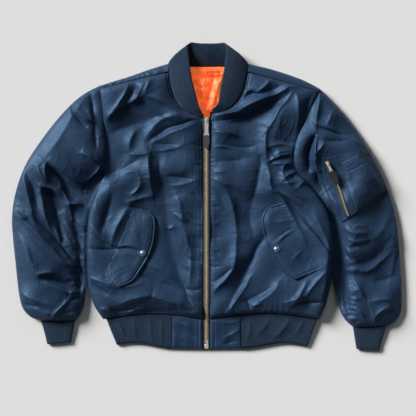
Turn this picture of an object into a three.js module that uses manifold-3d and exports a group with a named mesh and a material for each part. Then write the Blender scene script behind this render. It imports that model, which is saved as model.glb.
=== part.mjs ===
// A padded nylon bomber jacket, laid out flat on its back with the front up and the zip closed.
// Millimetres. X runs to the wearer's left, Y from the hem to the collar, Z up from the table.
// The back panel lies on the table, the fronts lie on the back, and each sleeve is a flattened tube.
import * as THREE from "three";
import Module from "manifold-3d";
import { mergeVertices } from "three/addons/utils/BufferGeometryUtils.js";

const wasm = await Module();
wasm.setup();

// Driving sizes
const SEAM_GAP = 0.3; // between two pieces at a seam
const BACK_WALL = 11; // padded back: shell, wadding and lining
const SEAM_HEIGHT = 12; // where the side seams run above the table
const FRONT_CROWN = 28; // top of the fronts where no fold lies
const FRONT_UNDERSIDE = BACK_WALL + 0.4;
const SLEEVE_SLIT = 1.6; // between the two layers of a flattened sleeve
const SLEEVE_EDGE_WALL = 7;
const RIB_WALL = 3; // two plies of rib knit
const COLLAR_WALL = 3.4;
const FLAP_WALL = 4.5;
const PATCH_WALL = 1.8;
const ON_PANEL_GAP = 1; // under a piece that lies on a panel
const ZIP_HALF_WIDTH = 8.4; // from the middle of the chain to the edge of each front
const CHAIN_HALF_WIDTH = 4.6;
const CHAIN_THICKNESS = 3.2;
const TAPE_THICKNESS = 1.2;
const HEM_BASE = -295; // hem seam at the zip and at the side seams
const HEM_RISE = 15; // how far the hem seam is pulled up between them
const HEM_FOLD_RADIUS = 2.4; // of the rib band where it turns round the side
const ARMHOLE_STEPS = 14;
const SIDE_STEPS = 13;
const PANEL_COLUMNS = 16;
const SLEEVE_STEPS = 21;

const NAVY = 0x22344f;
const RIB_NAVY = 0x243a50;
const ORANGE = 0xf2622a;
const NICKEL = 0xd9d2bd;
const BRASS = 0xa8834a;
const BLACK = 0x1b1c1d;

const finish = {
  nylon: { color: NAVY, roughness: 0.38, metalness: 0 },
  knit: { color: RIB_NAVY, roughness: 0.9, metalness: 0 },
  lining: { color: ORANGE, roughness: 0.4, metalness: 0 },
  nickel: { color: NICKEL, roughness: 0.25, metalness: 1 },
  brass: { color: BRASS, roughness: 0.35, metalness: 1 },
  tape: { color: 0x141d2c, roughness: 0.85, metalness: 0 },
  tab: { color: BLACK, roughness: 0.6, metalness: 0 },
  snap: { color: 0x3a5480, roughness: 0.15, metalness: 0.6 },
};

const jacket = new THREE.Group();

// Sides of the body, from the hem to the armpit, on the wearer's right and left
const sideSeam = {
  right: [
    { x: -248, y: -295 },
    { x: -270, y: -260 },
    { x: -283, y: -215 },
    { x: -287, y: -157 },
    { x: -287, y: -100 },
    { x: -282, y: -44 },
    { x: -270, y: -4 },
    { x: -256, y: 30 },
  ],
  left: [
    { x: 272, y: -295 },
    { x: 287, y: -258 },
    { x: 299, y: -205 },
    { x: 304, y: -157 },
    { x: 304, y: -104 },
    { x: 294, y: -44 },
    { x: 272, y: -6 },
    { x: 239, y: 35 },
  ],
};

// Armholes, from the armpit to the tip of the shoulder
const armhole = {
  right: [
    { x: -256, y: 30 },
    { x: -246, y: 52 },
    { x: -242, y: 80 },
    { x: -241, y: 116 },
    { x: -245, y: 162 },
    { x: -251, y: 218 },
    { x: -257, y: 259 },
  ],
  left: [
    { x: 239, y: 35 },
    { x: 217, y: 59 },
    { x: 209, y: 92 },
    { x: 216, y: 136 },
    { x: 233, y: 172 },
    { x: 252, y: 215 },
    { x: 270, y: 252 },
  ],
};

// Necklines of the fronts, from the top of the zip to the shoulder seam
const neckline = {
  right: [
    { x: -13, y: 190 },
    { x: -49, y: 204 },
    { x: -74, y: 232 },
    { x: -86, y: 268 },
    { x: -91, y: 299 },
  ],
  left: [
    { x: 12, y: 198 },
    { x: 54, y: 210 },
    { x: 83, y: 241 },
    { x: 94, y: 275 },
    { x: 99, y: 299 },
  ],
};

// The top outline of the back, which comes over the shoulder to the seam on the front
const shoulderLine = {
  right: [
    { x: -258, y: 266 },
    { x: -220, y: 278 },
    { x: -184, y: 289 },
    { x: -136, y: 306 },
    { x: -93, y: 319 },
  ],
  left: [
    { x: 273, y: 259 },
    { x: 239, y: 277 },
    { x: 200, y: 292 },
    { x: 152, y: 307 },
    { x: 101, y: 319 },
  ],
};

// Sleeves, from the shoulder to the cuff. Outer and inner edge in plan, height of the top
// and of the underside, and height of the slit between the layers.
const sleeveSections = {
  right: [
    { outerX: -257, outerY: 259, innerX: -256, innerY: 30, top: 27, under: 0, slit: 11.6 },
    { outerX: -285, outerY: 252, innerX: -259, innerY: 23, top: 30, under: 0, slit: 12 },
    { outerX: -315, outerY: 231, innerX: -263, innerY: 16, top: 32, under: 0, slit: 12 },
    { outerX: -345, outerY: 201, innerX: -268, innerY: 7, top: 33, under: 0, slit: 12 },
    { outerX: -376, outerY: 164, innerX: -272, innerY: -4, top: 33, under: 0, slit: 12 },
    { outerX: -404, outerY: 126, innerX: -277, innerY: -18, top: 33, under: 0, slit: 12 },
    { outerX: -431, outerY: 84, innerX: -284, innerY: -35, top: 32, under: 0, slit: 12 },
    { outerX: -450, outerY: 40, innerX: -288, innerY: -56, top: 32, under: 0, slit: 12 },
    { outerX: -463, outerY: -8, innerX: -290, innerY: -80, top: 32, under: 0, slit: 12 },
    { outerX: -468, outerY: -56, innerX: -291, innerY: -109, top: 32, under: 0, slit: 12 },
    { outerX: -465, outerY: -104, innerX: -291, innerY: -140, top: 31, under: 0, slit: 12 },
    { outerX: -460, outerY: -152, innerX: -291, innerY: -172, top: 31, under: 0, slit: 12 },
    { outerX: -455, outerY: -200, innerX: -291, innerY: -203, top: 31, under: 0, slit: 12 },
    { outerX: -450, outerY: -239, innerX: -292, innerY: -239, top: 30, under: 0, slit: 12 },
    { outerX: -442, outerY: -268, innerX: -297, innerY: -268, top: 28, under: 0, slit: 11 },
    { outerX: -425, outerY: -288, innerX: -306, innerY: -288, top: 23, under: 0.5, slit: 9.5 },
    { outerX: -400, outerY: -298, innerX: -316, innerY: -298, top: 15, under: 2.5, slit: 8 },
  ],
  left: [
    { outerX: 270, outerY: 252, innerX: 239, innerY: 35, top: 27, under: 0, slit: 11.6 },
    { outerX: 294, outerY: 238, innerX: 246, innerY: 29, top: 30, under: 0, slit: 12 },
    { outerX: 321, outerY: 210, innerX: 253, innerY: 23, top: 32, under: 0, slit: 12 },
    { outerX: 347, outerY: 176, innerX: 261, innerY: 16, top: 32, under: 0, slit: 12 },
    { outerX: 373, outerY: 140, innerX: 270, innerY: 6, top: 32, under: 0, slit: 12 },
    { outerX: 397, outerY: 102, innerX: 279, innerY: -6, top: 32, under: 0, slit: 12 },
    { outerX: 418, outerY: 61, innerX: 289, innerY: -23, top: 32, under: 0, slit: 12 },
    { outerX: 434, outerY: 20, innerX: 298, innerY: -44, top: 32, under: 0, slit: 12 },
    { outerX: 448, outerY: -23, innerX: 305, innerY: -71, top: 31, under: 0, slit: 12 },
    { outerX: 457, outerY: -66, innerX: 308.5, innerY: -100, top: 31, under: 0, slit: 12 },
    { outerX: 462, outerY: -109, innerX: 309, innerY: -128, top: 31, under: 0, slit: 12 },
    { outerX: 465, outerY: -157, innerX: 309, innerY: -162, top: 31, under: 0, slit: 12 },
    { outerX: 468, outerY: -205, innerX: 309, innerY: -203, top: 31, under: 0, slit: 12 },
    { outerX: 469, outerY: -248, innerX: 313, innerY: -244, top: 30, under: 0, slit: 12 },
    { outerX: 467, outerY: -277, innerX: 322, innerY: -275, top: 28, under: 0, slit: 11 },
    { outerX: 454, outerY: -300, innerX: 334, innerY: -297, top: 23, under: 0.5, slit: 9.5 },
    { outerX: 433, outerY: -313, innerX: 351, innerY: -313, top: 15, under: 2.5, slit: 8 },
  ],
};

// Cuffs, from the sleeve to the hand
const cuffSections = {
  right: [
    { outerX: -399, outerY: -298.6, innerX: -317, innerY: -298.6, top: 13, under: 3.4 },
    { outerX: -393, outerY: -318, innerX: -320, innerY: -316, top: 12, under: 2.4 },
    { outerX: -388, outerY: -338, innerX: -323, innerY: -334, top: 10.6, under: 1 },
    { outerX: -384, outerY: -356, innerX: -326, innerY: -350, top: 9.6, under: 0 },
  ],
  left: [
    { outerX: 432, outerY: -313.6, innerX: 352, innerY: -313.6, top: 13, under: 3.4 },
    { outerX: 427, outerY: -332, innerX: 355, innerY: -331, top: 12, under: 2.4 },
    { outerX: 421, outerY: -352, innerX: 358, innerY: -350, top: 10.6, under: 1 },
    { outerX: 417, outerY: -370, innerX: 361, innerY: -367, top: 9.6, under: 0 },
  ],
};

// Stations round the collar band, from the wearer's right front to the left front.
// seam is the sewn edge and edge the free one.
const collarSections = [
  { seamX: -13, seamY: 195, seamZ: 23.5, edgeX: -10.5, edgeY: 201, edgeZ: 27 },
  { seamX: -27, seamY: 198.6, seamZ: 24, edgeX: -17, edgeY: 213, edgeZ: 32 },
  { seamX: -47, seamY: 208, seamZ: 24, edgeX: -22, edgeY: 231, edgeZ: 36 },
  { seamX: -61, seamY: 219.5, seamZ: 24, edgeX: -26, edgeY: 246, edgeZ: 38 },
  { seamX: -70, seamY: 234, seamZ: 24, edgeX: -30, edgeY: 262, edgeZ: 39.5 },
  { seamX: -78, seamY: 254, seamZ: 24, edgeX: -34.5, edgeY: 280, edgeZ: 40 },
  { seamX: -82.5, seamY: 273, seamZ: 23.5, edgeX: -38.5, edgeY: 303, edgeZ: 40 },
  { seamX: -86, seamY: 292, seamZ: 22.5, edgeX: -41.5, edgeY: 332, edgeZ: 39.5 },
  { seamX: -90.4, seamY: 307, seamZ: 20.5, edgeX: -43.6, edgeY: 355, edgeZ: 38 },
  { seamX: -91, seamY: 315.5, seamZ: 17.5, edgeX: -43, edgeY: 366, edgeZ: 36 },
  { seamX: -81, seamY: 315.5, seamZ: 14.6, edgeX: -37, edgeY: 367.4, edgeZ: 34 },
  { seamX: -66, seamY: 313.5, seamZ: 13.6, edgeX: -28, edgeY: 367, edgeZ: 33 },
  { seamX: -36, seamY: 311, seamZ: 13.4, edgeX: -15, edgeY: 366, edgeZ: 32.5 },
  { seamX: 3, seamY: 310, seamZ: 13.4, edgeX: 2, edgeY: 365.6, edgeZ: 32.5 },
  { seamX: 42, seamY: 311, seamZ: 13.4, edgeX: 20, edgeY: 366, edgeZ: 32.5 },
  { seamX: 73, seamY: 313.5, seamZ: 13.6, edgeX: 33, edgeY: 367.2, edgeZ: 33 },
  { seamX: 89, seamY: 315.5, seamZ: 14.6, edgeX: 42, edgeY: 368, edgeZ: 34 },
  { seamX: 98.6, seamY: 315.5, seamZ: 17.5, edgeX: 48, edgeY: 366.4, edgeZ: 36 },
  { seamX: 98.2, seamY: 307, seamZ: 20.5, edgeX: 48, edgeY: 356, edgeZ: 38 },
  { seamX: 93.6, seamY: 292, seamZ: 22.5, edgeX: 46, edgeY: 334, edgeZ: 39.5 },
  { seamX: 90.4, seamY: 275, seamZ: 23.5, edgeX: 42, edgeY: 306, edgeZ: 40 },
  { seamX: 86, seamY: 259, seamZ: 24, edgeX: 38, edgeY: 284, edgeZ: 40 },
  { seamX: 79.4, seamY: 244, seamZ: 24, edgeX: 34, edgeY: 265, edgeZ: 39.5 },
  { seamX: 68.5, seamY: 229, seamZ: 24, edgeX: 32, edgeY: 248, edgeZ: 38 },
  { seamX: 52, seamY: 213.8, seamZ: 24, edgeX: 30, edgeY: 233, edgeZ: 36 },
  { seamX: 32, seamY: 206.6, seamZ: 24, edgeX: 25, edgeY: 219, edgeZ: 32 },
  { seamX: 14, seamY: 203, seamZ: 23.5, edgeX: 13, edgeY: 208, edgeZ: 27 },
];

// Pocket flaps, from the top of the slanted pocket seam to its foot
const flapSections = {
  right: [
    { hingeX: -174, hingeY: -26, farX: -134, farY: -37 },
    { hingeX: -184, hingeY: -50, farX: -123, farY: -52 },
    { hingeX: -194, hingeY: -74, farX: -121, farY: -76 },
    { hingeX: -204, hingeY: -98, farX: -126, farY: -113 },
    { hingeX: -214, hingeY: -122, farX: -138, farY: -145 },
    { hingeX: -225, hingeY: -147, farX: -156, farY: -176 },
    { hingeX: -236, hingeY: -172, farX: -176, farY: -203 },
    { hingeX: -247, hingeY: -197, farX: -208, farY: -216 },
  ],
  left: [
    { hingeX: 186, hingeY: -12, farX: 154, farY: -24 },
    { hingeX: 199, hingeY: -36, farX: 137, farY: -38 },
    { hingeX: 212, hingeY: -60, farX: 131, farY: -58 },
    { hingeX: 224, hingeY: -83, farX: 135, farY: -84 },
    { hingeX: 236, hingeY: -106, farX: 144, farY: -114 },
    { hingeX: 249, hingeY: -130, farX: 158, farY: -144 },
    { hingeX: 262, hingeY: -153, farX: 177, farY: -174 },
    { hingeX: 274, hingeY: -175, farX: 212, farY: -200 },
  ],
};
const snapPlace = { right: { x: -152, y: -136 }, left: { x: 168, y: -126 } };

// The zip pocket on the wearer's left sleeve, from its top to its foot, and the pen pocket
// sewn on it
const zipPocketSections = [
  { nearX: 272, nearY: 92, farX: 364, farY: 107 },
  { nearX: 278, nearY: 58, farX: 388, farY: 79 },
  { nearX: 286, nearY: 20, farX: 409, farY: 54 },
  { nearX: 300, nearY: -22, farX: 423, farY: 31 },
  { nearX: 325, nearY: -62, farX: 430, farY: 9 },
];
const penPocketSections = [
  { nearX: 322, nearY: 80, farX: 363, farY: 101 },
  { nearX: 329, nearY: 54, farX: 385, farY: 77 },
  { nearX: 336, nearY: 24, farX: 404, farY: 53 },
  { nearX: 346, nearY: -6, farX: 417, farY: 32 },
  { nearX: 359, nearY: -34, farX: 424, farY: 12 },
];
const sleeveZip = [
  { x: 284, y: 86 },
  { x: 298, y: 62 },
  { x: 313, y: 30 },
  { x: 323, y: -1 },
  { x: 330, y: -26 },
  { x: 338, y: -47 },
];
const labelSections = [
  { nearX: 374, nearY: 110, farX: 386, farY: 115 },
  { nearX: 381, nearY: 98, farX: 393, farY: 103 },
];

// The lining that shows inside the neck, from the top of the zip to the back neckline
const liningSections = [
  { y: 191, leftX: -7.6, rightX: 7.6 },
  { y: 199, leftX: -9, rightX: 8.6 },
  { y: 203, leftX: -38, rightX: 10 },
  { y: 209, leftX: -50, rightX: 40 },
  { y: 216, leftX: -58.5, rightX: 56 },
  { y: 226, leftX: -67, rightX: 68 },
  { y: 240, leftX: -75, rightX: 78.5 },
  { y: 257, leftX: -82, rightX: 86 },
  { y: 276, leftX: -86.5, rightX: 92 },
  { y: 292, leftX: -89, rightX: 95.6 },
  { y: 307, leftX: -90, rightX: 97 },
];

// Largest folds of the cloth. Each runs from (x1, y1) past (xm, ym) to (x2, y2), stands
// rise above the cloth, or below it when negative, and falls away over width on each side.
const frontFolds = [
  { x1: -147, y1: 268, xm: -165, ym: 215, x2: -222, y2: 188, rise: 5, width: 10 },
  { x1: -88, y1: 212, xm: -150, ym: 205, x2: -228, y2: 160, rise: -6, width: 20 },
  { x1: -24, y1: 184, xm: -95, ym: 182, x2: -136, y2: 142, rise: 6, width: 12 },
  { x1: -20, y1: 172, xm: -70, ym: 160, x2: -138, y2: 128, rise: -5, width: 10 },
  { x1: -140, y1: 98, xm: -132, ym: 50, x2: -126, y2: 0, rise: 7, width: 12 },
  { x1: -112, y1: 90, xm: -104, ym: 40, x2: -98, y2: -10, rise: -5, width: 14 },
  { x1: -160, y1: 62, xm: -168, ym: 20, x2: -212, y2: -20, rise: 5, width: 12 },
  { x1: -160, y1: 2, xm: -200, ym: -40, x2: -228, y2: -112, rise: 7, width: 11 },
  { x1: -192, y1: 8, xm: -225, ym: -35, x2: -254, y2: -76, rise: -5, width: 14 },
  { x1: -94, y1: -10, xm: -82, ym: -100, x2: -56, y2: -222, rise: -6, width: 12 },
  { x1: -62, y1: 10, xm: -52, ym: -50, x2: -38, y2: -130, rise: 6, width: 13 },
  { x1: -135, y1: -160, xm: -100, ym: -185, x2: -66, y2: -200, rise: 4, width: 10 },
  { x1: -236, y1: -236, xm: -170, ym: -246, x2: -95, y2: -240, rise: 5, width: 15 },
  { x1: 44, y1: 178, xm: 110, ym: 205, x2: 208, y2: 262, rise: 6, width: 11 },
  { x1: 60, y1: 170, xm: 150, ym: 190, x2: 200, y2: 240, rise: -7, width: 18 },
  { x1: 214, y1: 244, xm: 222, ym: 200, x2: 196, y2: 150, rise: 5, width: 12 },
  { x1: 178, y1: 176, xm: 138, ym: 130, x2: 156, y2: 20, rise: 6, width: 12 },
  { x1: 130, y1: 120, xm: 116, ym: 20, x2: 92, y2: -40, rise: -6, width: 17 },
  { x1: 92, y1: -40, xm: 88, ym: -150, x2: 46, y2: -272, rise: -6, width: 17 },
  { x1: 36, y1: 14, xm: 78, ym: -80, x2: 62, y2: -165, rise: 7, width: 13 },
  { x1: 62, y1: -165, xm: 50, ym: -196, x2: 16, y2: -222, rise: 5, width: 11 },
  { x1: 106, y1: -192, xm: 82, ym: -234, x2: 52, y2: -274, rise: 5, width: 9 },
  { x1: 176, y1: -206, xm: 155, ym: -232, x2: 120, y2: -256, rise: 5, width: 11 },
  { x1: 280, y1: -180, xm: 250, ym: -215, x2: 200, y2: -262, rise: 5, width: 12 },
  { x1: 156, y1: 20, xm: 205, ym: -45, x2: 262, y2: -130, rise: 6, width: 12 },
  { x1: 232, y1: -10, xm: 268, ym: -65, x2: 296, y2: -132, rise: 4, width: 11 },
];
const sleeveFolds = {
  right: [
    { x1: -382, y1: 84, xm: -330, ym: 58, x2: -292, y2: 28, rise: 6, width: 11 },
    { x1: -382, y1: 72, xm: -352, ym: 40, x2: -318, y2: 6, rise: -7, width: 12 },
    { x1: -296, y1: 106, xm: -270, ym: 92, x2: -256, y2: 70, rise: -6, width: 13 },
    { x1: -324, y1: 216, xm: -312, ym: 192, x2: -294, y2: 168, rise: -5, width: 10 },
    { x1: -280, y1: 250, xm: -270, ym: 190, x2: -266, y2: 146, rise: -5, width: 11 },
    { x1: -404, y1: 26, xm: -392, ym: -38, x2: -352, y2: -112, rise: 6, width: 12 },
    { x1: -402, y1: 24, xm: -362, ym: -6, x2: -342, y2: -34, rise: -5, width: 12 },
    { x1: -458, y1: -42, xm: -390, ym: -80, x2: -302, y2: -166, rise: 7, width: 11 },
    { x1: -412, y1: -68, xm: -370, ym: -104, x2: -336, y2: -154, rise: -6, width: 11 },
    { x1: -434, y1: -84, xm: -400, ym: -130, x2: -330, y2: -170, rise: -5, width: 14 },
    { x1: -450, y1: -60, xm: -424, ym: -110, x2: -396, y2: -176, rise: 5, width: 14 },
    { x1: -404, y1: -188, xm: -360, ym: -176, x2: -306, y2: -170, rise: 5, width: 12 },
    { x1: -400, y1: -200, xm: -356, ym: -200, x2: -312, y2: -226, rise: -5, width: 14 },
  ],
  left: [
    { x1: 278, y1: 246, xm: 272, ym: 200, x2: 258, y2: 154, rise: 5, width: 10 },
    { x1: 262, y1: 170, xm: 306, ym: 152, x2: 356, y2: 134, rise: -4, width: 9 },
    { x1: 254, y1: 142, xm: 232, ym: 90, x2: 250, y2: 56, rise: -8, width: 11 },
    { x1: 262, y1: 134, xm: 250, ym: 92, x2: 272, y2: 44, rise: 5, width: 9 },
    { x1: 330, y1: -72, xm: 352, ym: -84, x2: 384, y2: -92, rise: 6, width: 13 },
    { x1: 330, y1: -110, xm: 352, ym: -122, x2: 392, y2: -108, rise: 5, width: 12 },
    { x1: 346, y1: -170, xm: 420, ym: -190, x2: 452, y2: -60, rise: 6, width: 12 },
    { x1: 350, y1: -156, xm: 402, ym: -160, x2: 430, y2: -64, rise: -5, width: 13 },
    { x1: 344, y1: -216, xm: 372, ym: -240, x2: 392, y2: -266, rise: 4, width: 10 },
    { x1: 396, y1: -250, xm: 420, ym: -238, x2: 446, y2: -230, rise: 5, width: 11 },
  ],
};
const liningFolds = [
  { x1: -70, y1: 292, xm: 0, ym: 282, x2: 78, y2: 290, rise: -3, width: 5 },
  { x1: -20, y1: 276, xm: -26, ym: 240, x2: -10, y2: 206, rise: 3, width: 8 },
  { x1: 26, y1: 276, xm: 12, ym: 240, x2: 6, y2: 214, rise: -3, width: 7 },
];

function smoothCurve(points) {
  const knots = points.map((p) => new THREE.Vector3(p.x, p.y, p.z ?? 0));
  return new THREE.CatmullRomCurve3(knots, false, "catmullrom", 0.5);
}

// One column of a table as a smooth function of t, from 0 at the first row to 1 at the last
function column(table, name) {
  const curve = smoothCurve(table.map((row) => ({ x: row[name], y: 0 })));
  return (t) => curve.getPoint(THREE.MathUtils.clamp(t, 0, 1)).x;
}

// Two columns of a table as a smooth plan curve
function planCurve(table, nameX, nameY) {
  const curve = smoothCurve(table.map((row) => ({ x: row[nameX], y: row[nameY] })));
  return (t) => curve.getPoint(THREE.MathUtils.clamp(t, 0, 1));
}

// Steps from 0 to 1 that crowd towards both ends, where the cloth rounds over
function edgeSteps(count) {
  const angle = Math.PI / count;
  return Array.from({ length: count + 1 }, (_, k) => (1 - Math.cos(k * angle)) / 2);
}

// The same, but only half as crowded
function panelSteps(count) {
  return edgeSteps(count).map((step, k) => 0.45 * step + (0.55 * k) / count);
}

// Rise of a rounded edge: 0 at the edge itself, 1 from radius inwards
function roundOver(distance, radius, power = 2) {
  const left = 1 - THREE.MathUtils.clamp(distance / radius, 0, 1);
  return (1 - left ** power) ** (1 / power);
}

// Height that the folds of a table add at a plan point. A fold has a rounded crest, falls
// away exponentially on both sides, and fades out at its two ends.
const FOLD_SAMPLES = 10;
const CREST = 0.5; // share of the width over which the crest is rounded
function foldHeight(folds, x, y) {
  let height = 0;
  for (const fold of folds) {
    let nearest = Infinity;
    let along = 0;
    for (let k = 0; k <= FOLD_SAMPLES; k += 1) {
      const t = k / FOLD_SAMPLES;
      const a = (1 - t) * (1 - t);
      const b = 2 * t * (1 - t);
      const dx = a * fold.x1 + b * fold.xm + t * t * fold.x2 - x;
      const dy = a * fold.y1 + b * fold.ym + t * t * fold.y2 - y;
      const distance = Math.hypot(dx, dy);
      if (distance < nearest) {
        nearest = distance;
        along = t;
      }
    }
    const crest = CREST * fold.width;
    const fall = Math.exp((crest - Math.hypot(nearest, crest)) / (0.6 * fold.width));
    height += fold.rise * fall * Math.sin(Math.PI * (0.08 + 0.84 * along)) ** 0.7;
  }
  return height;
}

// A closed solid between two grids of points, outer[row][column] and inner[row][column].
// With wrap, the last column joins the first and only the two ends are capped.
function solidBetween(outer, inner, wrap = false) {
  const rows = outer.length;
  const columns = outer[0].length;
  const count = rows * columns;
  const positions = [...outer.flat(), ...inner.flat()].flatMap((p) => [p.x, p.y, p.z]);
  const faces = [];
  const at = (layer, r, c) => layer * count + r * columns + (c % columns);
  const quad = (a, b, c, d) => faces.push(a, b, c, a, c, d);
  const across = wrap ? columns : columns - 1;
  for (let r = 0; r < rows - 1; r += 1)
    for (let c = 0; c < across; c += 1) {
      quad(at(0, r, c), at(0, r, c + 1), at(0, r + 1, c + 1), at(0, r + 1, c));
      quad(at(1, r, c), at(1, r + 1, c), at(1, r + 1, c + 1), at(1, r, c + 1));
    }
  for (let c = 0; c < across; c += 1) {
    quad(at(0, 0, c + 1), at(0, 0, c), at(1, 0, c), at(1, 0, c + 1));
    const r = rows - 1;
    quad(at(0, r, c), at(0, r, c + 1), at(1, r, c + 1), at(1, r, c));
  }
  for (let r = 0; r < rows - 1 && !wrap; r += 1) {
    quad(at(0, r, 0), at(0, r + 1, 0), at(1, r + 1, 0), at(1, r, 0));
    const c = columns - 1;
    quad(at(0, r + 1, c), at(0, r, c), at(1, r, c), at(1, r + 1, c));
  }
  const geometry = new THREE.BufferGeometry();
  geometry.setAttribute("position", new THREE.Float32BufferAttribute(positions, 3));
  geometry.setIndex(faces);
  return facingOut(geometry);
}

// Turns every face round if the solid is inside out
function facingOut(geometry) {
  const p = geometry.getAttribute("position");
  const index = geometry.getIndex().array;
  const corner = [new THREE.Vector3(), new THREE.Vector3(), new THREE.Vector3()];
  let volume = 0;
  for (let i = 0; i < index.length; i += 3) {
    corner.forEach((c, k) => c.fromBufferAttribute(p, index[i + k]));
    volume += corner[0].dot(corner[1].clone().cross(corner[2])) / 6;
  }
  if (volume < 0)
    for (let i = 0; i < index.length; i += 3) {
      const kept = index[i + 1];
      index[i + 1] = index[i + 2];
      index[i + 2] = kept;
    }
  geometry.computeVertexNormals();
  return geometry;
}

// Two grids half a wall either side of a middle grid, along its own normals
function thicken(middle, wall) {
  const rows = middle.length;
  const columns = middle[0].length;
  const shift = (side) =>
    middle.map((line, r) =>
      line.map((point, c) => {
        const up = middle[Math.min(r + 1, rows - 1)][c];
        const down = middle[Math.max(r - 1, 0)][c];
        const ahead = middle[r][Math.min(c + 1, columns - 1)];
        const behind = middle[r][Math.max(c - 1, 0)];
        const normal = ahead.clone().sub(behind).cross(up.clone().sub(down)).normalize();
        return point.clone().addScaledVector(normal, (side * wall) / 2);
      }),
    );
  return solidBetween(shift(1), shift(-1));
}

// Boolean joins through the solid library, and back again
function toSolid(geometry) {
  const bare = geometry.clone();
  bare.deleteAttribute("normal");
  bare.deleteAttribute("uv");
  const merged = mergeVertices(bare, 1e-3);
  const mesh = new wasm.Mesh({
    numProp: 3,
    vertProperties: new Float32Array(merged.getAttribute("position").array),
    triVerts: new Uint32Array(merged.getIndex().array),
  });
  return new wasm.Manifold(mesh);
}
function joined(...geometries) {
  const solid = geometries.map(toSolid).reduce((sum, next) => sum.add(next));
  return fromSolid(solid);
}
function fromSolid(solid) {
  const mesh = solid.getMesh();
  const geometry = new THREE.BufferGeometry();
  geometry.setAttribute("position", new THREE.Float32BufferAttribute(mesh.vertProperties, 3));
  geometry.setIndex([...mesh.triVerts]);
  geometry.computeVertexNormals();
  return geometry;
}

// The same solid with its flat areas in fewer, larger faces
const FACE_TOLERANCE = 0.04;
function thinned(geometry) {
  return fromSolid(toSolid(geometry).simplify(FACE_TOLERANCE));
}

function addPiece(parent, name, geometry, look) {
  const mesh = new THREE.Mesh(geometry, new THREE.MeshStandardMaterial(finish[look]));
  mesh.name = name;
  parent.add(mesh);
  return mesh;
}

// Hem seam of the fronts in plan: pulled up by the rib between the zip and the side
function hemSeam(x) {
  const half = x < 0 ? 248 : 272;
  const share = THREE.MathUtils.clamp((Math.abs(x) - ZIP_HALF_WIDTH) / (half - ZIP_HALF_WIDTH), 0, 1);
  return HEM_BASE + HEM_RISE * Math.sin(Math.PI * share);
}

// Height of the middle of the zip: level on the fronts, then down over the hem to the table
function zipHeight(y) {
  const onFront = 23;
  const atHem = 11.5;
  const atFoot = 7;
  const overHem = THREE.MathUtils.smoothstep(y, HEM_BASE - 4, HEM_BASE + 44);
  const downHem = THREE.MathUtils.clamp((y + 367) / 68, 0, 1);
  return THREE.MathUtils.lerp(atFoot + (atHem - atFoot) * downHem, onFront, overHem);
}

// Plan grid of a front, rows from the hem to the shoulder and columns from the zip outwards.
// side is -1 for the wearer's right front and 1 for the left.
function frontPlan(side) {
  const key = side < 0 ? "right" : "left";
  const seam = planCurve(sideSeam[key], "x", "y");
  const arm = planCurve(armhole[key], "x", "y");
  const neck = planCurve(neckline[key], "x", "y");
  const zipTop = neckline[key][0];
  const armpitLevel = 44;
  const cornerStep = 8; // the row of the armhole that meets the top of the zip
  const rows = [];
  for (let k = 0; k < SIDE_STEPS; k += 1) {
    const t = k / SIDE_STEPS;
    const inner = new THREE.Vector3(side * ZIP_HALF_WIDTH, THREE.MathUtils.lerp(HEM_BASE, armpitLevel, t), 0);
    rows.push({ inner, outer: seam(t), low: 1 - t });
  }
  const steps = edgeSteps(ARMHOLE_STEPS);
  for (let k = 0; k <= ARMHOLE_STEPS; k += 1) {
    const upZip = k / cornerStep;
    const inner =
      k <= cornerStep
        ? new THREE.Vector3(
            THREE.MathUtils.lerp(side * ZIP_HALF_WIDTH, zipTop.x, upZip ** 2),
            THREE.MathUtils.lerp(armpitLevel, zipTop.y, upZip),
            0,
          )
        : neck((k - cornerStep) / (ARMHOLE_STEPS - cornerStep));
    const outer = arm(steps[k]);
    outer.x -= side * SEAM_GAP;
    rows.push({ inner, outer, low: 0 });
  }
  const across = panelSteps(PANEL_COLUMNS);
  return rows.map((row) =>
    across.map((u) => {
      const point = row.inner.clone().lerp(row.outer, u);
      const bend = hemSeam(point.x) - HEM_BASE;
      point.y += bend * row.low ** 3 + SEAM_GAP * (row.low === 1 ? 1 : 0);
      return point;
    }),
  );
}

// Height of a front above the table, worked out from how far each grid point is from the
// edges of the panel, with the folds on top
function frontHeights(plan, side) {
  const rows = plan.length;
  const zipEdge = 25;
  const sideEdge = SEAM_HEIGHT + 1.6;
  const armEdge = 24;
  const hemEdge = 17;
  const shoulderEdge = 23;
  return plan.map((line, r) => {
    const inner = line[0];
    const outer = line[line.length - 1];
    const atArm = r >= SIDE_STEPS;
    const shareUp = THREE.MathUtils.clamp((r - SIDE_STEPS) / 3, 0, 1);
    const outerEdge = atArm ? THREE.MathUtils.lerp(sideEdge, armEdge, shareUp) : sideEdge;
    const outerRadius = atArm ? THREE.MathUtils.lerp(30, 16, shareUp) : 30;
    return line.map((point, c) => {
      const fromHem = point.distanceTo(plan[0][c]);
      const fromTop = point.distanceTo(plan[rows - 1][c]);
      const drops = [
        (FRONT_CROWN - zipEdge) * (1 - roundOver(point.distanceTo(inner), 14)),
        (FRONT_CROWN - outerEdge) * (1 - roundOver(point.distanceTo(outer), outerRadius)),
        (FRONT_CROWN - hemEdge) * (1 - roundOver(fromHem, 24)),
        (FRONT_CROWN - shoulderEdge) * (1 - roundOver(fromTop, 14)),
      ];
      const drop = Math.hypot(...drops);
      const nearEdge = Math.min(
        roundOver(point.distanceTo(inner), 26),
        roundOver(point.distanceTo(outer), 34),
        roundOver(fromHem, 26),
        roundOver(fromTop, 24),
      );
      const folds = frontFolds.filter((fold) => Math.sign(fold.x1) === side);
      const height = FRONT_CROWN - drop + nearEdge * foldHeight(folds, point.x, point.y);
      return point.clone().setZ(Math.max(height, FRONT_UNDERSIDE + 2));
    });
  });
}

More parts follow.
